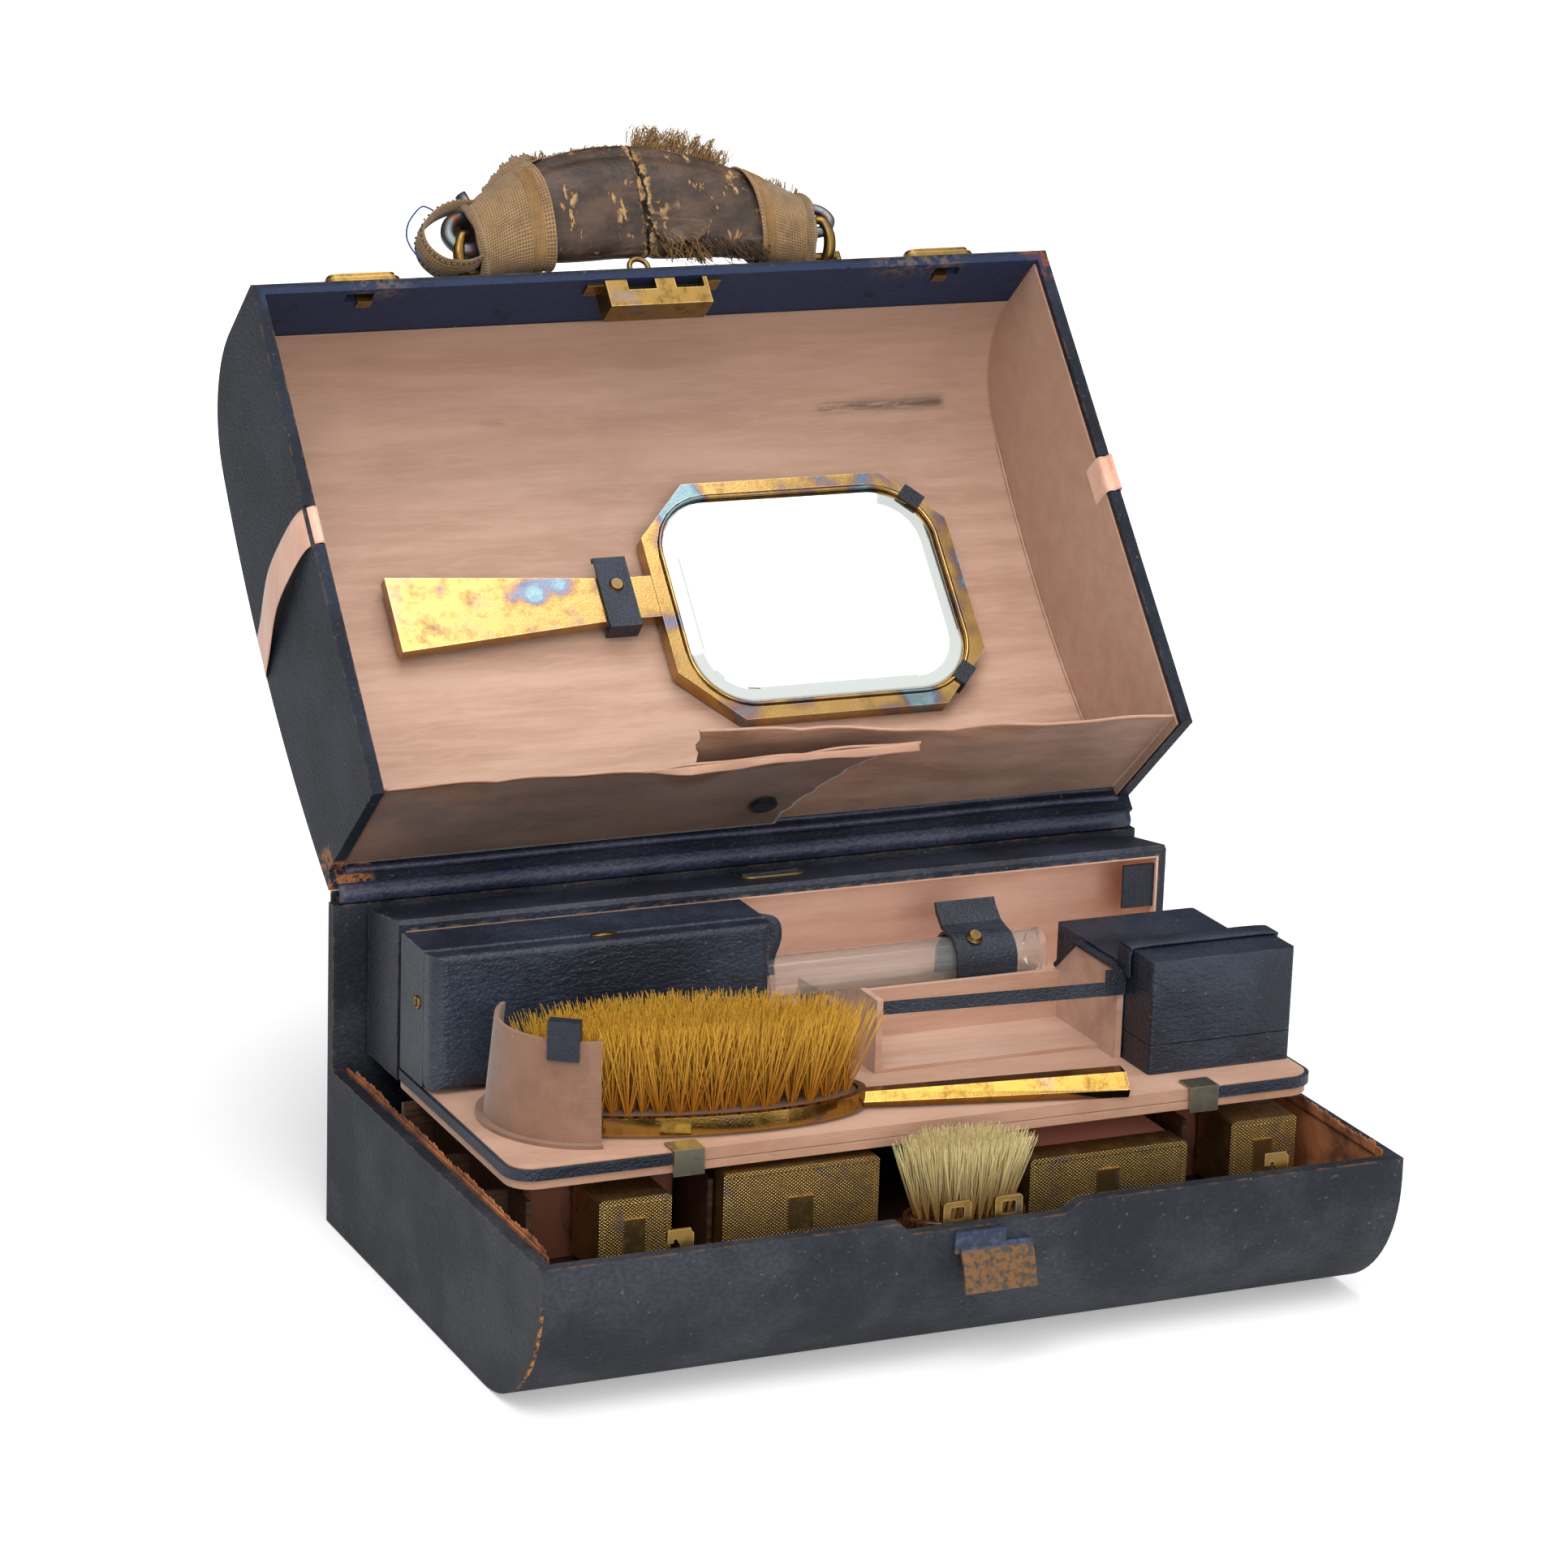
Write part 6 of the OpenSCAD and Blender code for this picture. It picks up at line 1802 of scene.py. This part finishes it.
@dataclass(frozen=True)
class TrayTrim:
    """The jewel box's strap and the long box's catch, eyelet and pull."""

    strap_w: float = 10.0
    strap_t: float = 1.2
    pull_w: float = 6.0
    catch_w: float = 3.4
    eye_radius: float = 2.0

    def make(self, look: Palette) -> None:
        """Builds all four pieces.

        Args:
            look: The materials.
        """
        self.make_strap(look)
        self.make_catch(look)
        self.make_eyelet_and_pull(look)

    def make_strap(self, look: Palette) -> None:
        """Builds the strap that lies over the jewel box.

        Args:
            look: The materials.
        """
        low, high = node_box("jewel_lid")
        y, z = high[1] - 6.0, high[2] + 0.9
        path = curve_points([
            (low[0] - 1.4, y, z - 12), (low[0] - 1.2, y, z - 2), (low[0] + 3, y, z),
            ((low[0] + high[0]) / 2, y, z + 0.2), (high[0] - 2, y, z), (high[0] + 0.9, y, z - 2),
            (high[0] + 1.0, y, z - 9),
        ], 60)
        strap = sweep("jewel_strap", path, flat_section(self.strap_w, self.strap_t), up=(0.3, 0, 1))
        place(strap, look.strap, Body.JEWEL_TOP)

    def make_catch(self, look: Palette) -> None:
        """Builds the catch on the long box's front half.

        Args:
            look: The materials.
        """
        low, high = node_box("long_box_lid")
        x, y, z = (low[0] + high[0]) / 2 + 2, high[1] - 2, high[2]
        path = np.array([(x - 5.0, y, z + 0.2), (x, y, z + 0.3), (x + 5.0, y, z + 0.2)])
        catch = sweep(
            "long_box_catch", path, flat_section(self.catch_w, 1.2), scale=np.array([0.7, 1.0, 0.7]), up=(0, 0, 1),
        )
        place(catch, look.brass, Body.LONG_LID)

    def make_eyelet_and_pull(self, look: Palette) -> None:
        """Builds the eyelet at the left end of the long box and the pull at its right end.

        Args:
            look: The materials.
        """
        low, high = node_box("long_box_base")
        centre = np.array([low[0] - 0.2, low[1] + 6, low[2] + 32])
        eye = ring_of("long_box_eyelet", centre, self.eye_radius, 0.7, (1, 0, 0))
        place(eye, look.brass, Body.TRAY)
        x, y, z = high[0], low[1] + 9, high[2]
        path = curve_points([
            (x + 0.7, y, z - 4), (x + 7, y - 1, z - 6), (x + 8.5, y - 1, z - 12), (x + 6, y - 1, z - 20),
            (x + 5.4, y - 1, z - 27),
        ], 40)
        pull = sweep("long_box_pull", path, flat_section(self.pull_w, 1.0), up=(0, 1, 0.2))
        place(pull, look.strap, Body.TRAY)


@dataclass(frozen=True)
class TabStitches:
    """Two rows of stitches across the front tab."""

    x: tuple[float, float] = (-12.6, 5.1)
    z: tuple[float, float] = (51.6, 56.6)
    pitch: float = 2.2
    length: float = 1.3
    proud: float = 1.75

    def make(self, look: Palette) -> None:
        """Builds the stitches.

        Args:
            look: The materials.
        """
        y = CASE_FRONT - self.proud
        roots = np.array([(x, y, z) for x in np.arange(*self.x, self.pitch) for z in self.z])
        stitches = strands("tab_stitches", roots, roots + np.array([self.length, 0.0, 0.0]), 0.28, 0.28, 0.0, 91)
        place(stitches, look.blue_thread, Body.CASE)


# Light and camera

@dataclass(frozen=True)
class Camera:
    """The camera of the photograph, solved from the edges of the case."""

    yaw: float = -24.527
    elevation: float = 15.753
    roll: float = 1.893
    distance: float = 1833.2
    target: tuple[float, float, float] = (-35.35, 0.0, 198.01)
    lens: float = 112.41
    sensor: float = 36.0
    near_m: float = 0.05
    far_m: float = 20.0

    def make(self) -> None:
        """Adds the camera to the scene."""
        a, e, r = (math.radians(v) for v in (self.yaw, self.elevation, self.roll))
        back = Vector((math.sin(a) * math.cos(e), -math.cos(a) * math.cos(e), math.sin(e)))
        right = (-back).cross(Vector((0, 0, 1))).normalized()
        up = right.cross(-back)
        turned_right = math.cos(r) * right + math.sin(r) * up
        turned_up = -math.sin(r) * right + math.cos(r) * up
        data = bpy.data.cameras.new("Camera")
        data.lens, data.sensor_width = self.lens, self.sensor
        data.clip_start, data.clip_end = self.near_m, self.far_m
        camera = bpy.data.objects.new("Camera", data)
        basis = Matrix((turned_right, turned_up, back)).transposed().to_4x4()
        camera.matrix_world = Matrix.Translation((Vector(self.target) + back * self.distance) * MM) @ basis
        bpy.context.scene.collection.objects.link(camera)
        bpy.context.scene.camera = camera


@dataclass(frozen=True)
class SoftLight:
    """A square soft light: its place and side in metres, its power in watts."""

    name: str
    place_m: tuple[float, float, float]
    size: float
    power: float
    target_m: tuple[float, float, float] = (0.0, 0.0, 0.12)

    def make(self) -> None:
        """Adds the light to the scene, facing its target."""
        data = bpy.data.lights.new(self.name, "AREA")
        data.size, data.energy = self.size, self.power
        light = bpy.data.objects.new(self.name, data)
        light.location = self.place_m
        light.rotation_euler = (Vector(self.target_m) - Vector(self.place_m)).to_track_quat("-Z", "Y").to_euler()
        bpy.context.scene.collection.objects.link(light)


LIGHTS = (
    SoftLight("Key", (-0.9, -1.1, 1.7), 0.9, 15.0),
    SoftLight("Fill", (1.3, -1.5, 0.9), 1.2, 4.0),
    SoftLight("Front", (-0.3, -2.0, 0.6), 0.8, 14.0),
    SoftLight("Top", (0.1, -0.1, 1.9), 1.2, 16.0),
)
FLOOR_HALF = 6000.0
FLOOR_DROP_M = 0.0004


def make_studio() -> None:
    """Makes the white surroundings, the pale floor and the soft lights."""
    scene = bpy.context.scene
    scene.view_settings.view_transform = "Standard"
    world = bpy.data.worlds.new("Studio")
    scene.world = world
    world.use_nodes = True
    tree = world.node_tree
    tree.nodes.clear()
    seen = tree.nodes.new("ShaderNodeLightPath").outputs["Is Camera Ray"]
    mix = tree.nodes.new("ShaderNodeMixShader")
    out = tree.nodes.new("ShaderNodeOutputWorld")
    for slot in (1, 2):
        shade = tree.nodes.new("ShaderNodeBackground")
        shade.inputs["Color"].default_value = (1.0, 1.0, 1.0, 1.0)
        if slot == 1:
            tree.links.new(sky_strength(tree), shade.inputs["Strength"])
        tree.links.new(shade.outputs[0], mix.inputs[slot])
    tree.links.new(seen, mix.inputs[0])
    tree.links.new(mix.outputs[0], out.inputs["Surface"])
    corners = np.array([(-1, -1, 0), (1, -1, 0), (1, 1, 0), (-1, 1, 0)]) * FLOOR_HALF
    floor = new_mesh("floor", corners, [[0, 1, 2, 3]], smooth=False)
    floor.location.z = -FLOOR_DROP_M
    paint(floor, make_floor_material())
    for light in LIGHTS:
        light.make()


def sky_strength(tree: bpy.types.NodeTree) -> Socket:
    """Returns the light of the surroundings: bright above and in front, dim at the sides and behind.

    Args:
        tree: The world's nodes.

    Returns:
        The strength of the surroundings in each direction.
    """
    way = tree.nodes.new("ShaderNodeTexCoord").outputs["Generated"]
    parts = tree.nodes.new("ShaderNodeSeparateXYZ")
    tree.links.new(way, parts.inputs[0])
    shares = []
    for axis, low, high in ((2, -0.05, 0.6), (1, 0.45, -0.4)):
        rise = tree.nodes.new("ShaderNodeMapRange")
        rise.interpolation_type = "SMOOTHSTEP"
        rise.inputs["From Min"].default_value, rise.inputs["From Max"].default_value = low, high
        tree.links.new(parts.outputs[axis], rise.inputs["Value"])
        shares.append(rise.outputs[0])
    both = tree.nodes.new("ShaderNodeMath")
    both.operation = "MULTIPLY"
    total = tree.nodes.new("ShaderNodeMath")
    total.operation = "MULTIPLY_ADD"
    for share, key in zip(shares, (0, 1)):
        tree.links.new(share, both.inputs[key])
    tree.links.new(both.outputs[0], total.inputs[0])
    total.inputs[1].default_value, total.inputs[2].default_value = 1.0, 0.1
    return total.outputs[0]


def make_floor_material() -> bpy.types.Material:
    """Returns the floor's material: white paper, lit from below more and more away from the object.

    Returns:
        The material.
    """
    s = Shader("Paper_floor")
    spot = s.math_vector("SCALE", s.object_mm, MM)
    far = s.add("ShaderNodeVectorMath", {0: spot}, operation="LENGTH").outputs["Value"]
    glow = s.plus(0.3, s.times(s.step(far, 0.3, 1.3), 0.9))
    ray = s.add("ShaderNodeLightPath").outputs
    seen = s.math("MAXIMUM", ray["Is Camera Ray"], ray["Is Transmission Ray"])
    glow = s.times(glow, s.plus(seen, s.times(ray["Is Glossy Ray"], 0.3)))
    diffuse = s.add("ShaderNodeBsdfDiffuse", {"Color": (0.9, 0.9, 0.9, 1.0)}).outputs[0]
    lit = s.add("ShaderNodeEmission", {"Strength": glow}).outputs[0]
    both = s.add("ShaderNodeAddShader", {0: diffuse, 1: lit}).outputs[0]
    s.add("ShaderNodeOutputMaterial", {"Surface": both})
    return s.material


def main() -> None:
    """Builds the whole scene."""
    logging.basicConfig(level=logging.INFO)
    Camera().make()
    make_studio()
    look = Palette()
    dress_nodes(look)
    Bristles(
        "hairbrush_bristles", Body.HAIRBRUSH, "amber_bristle", tufts=300, hairs=12, base_a=60.5, base_b=19.0,
        tip_a=64.0, tip_b=23.0, turn=BRUSH_TURN, radius=0.26, loose=1.0, seed=100,
    ).make(look.amber)
    Bristles(
        "small_brush_bristles", Body.CASE, "cream_bristle", tufts=110, hairs=14, base_a=19.5, base_b=9.8,
        tip_a=26.5, tip_b=13.5, turn=0.0, radius=0.2, loose=0.7, seed=200,
    ).make(look.cream)
    make_pads(look)
    for part in (Pocket(), Ribbon(), LidTrim(), Hinge(), TornPaper(), Handle(), TrayTrim(), TabStitches()):
        part.make(look)


if __name__ == "__main__":
    main()
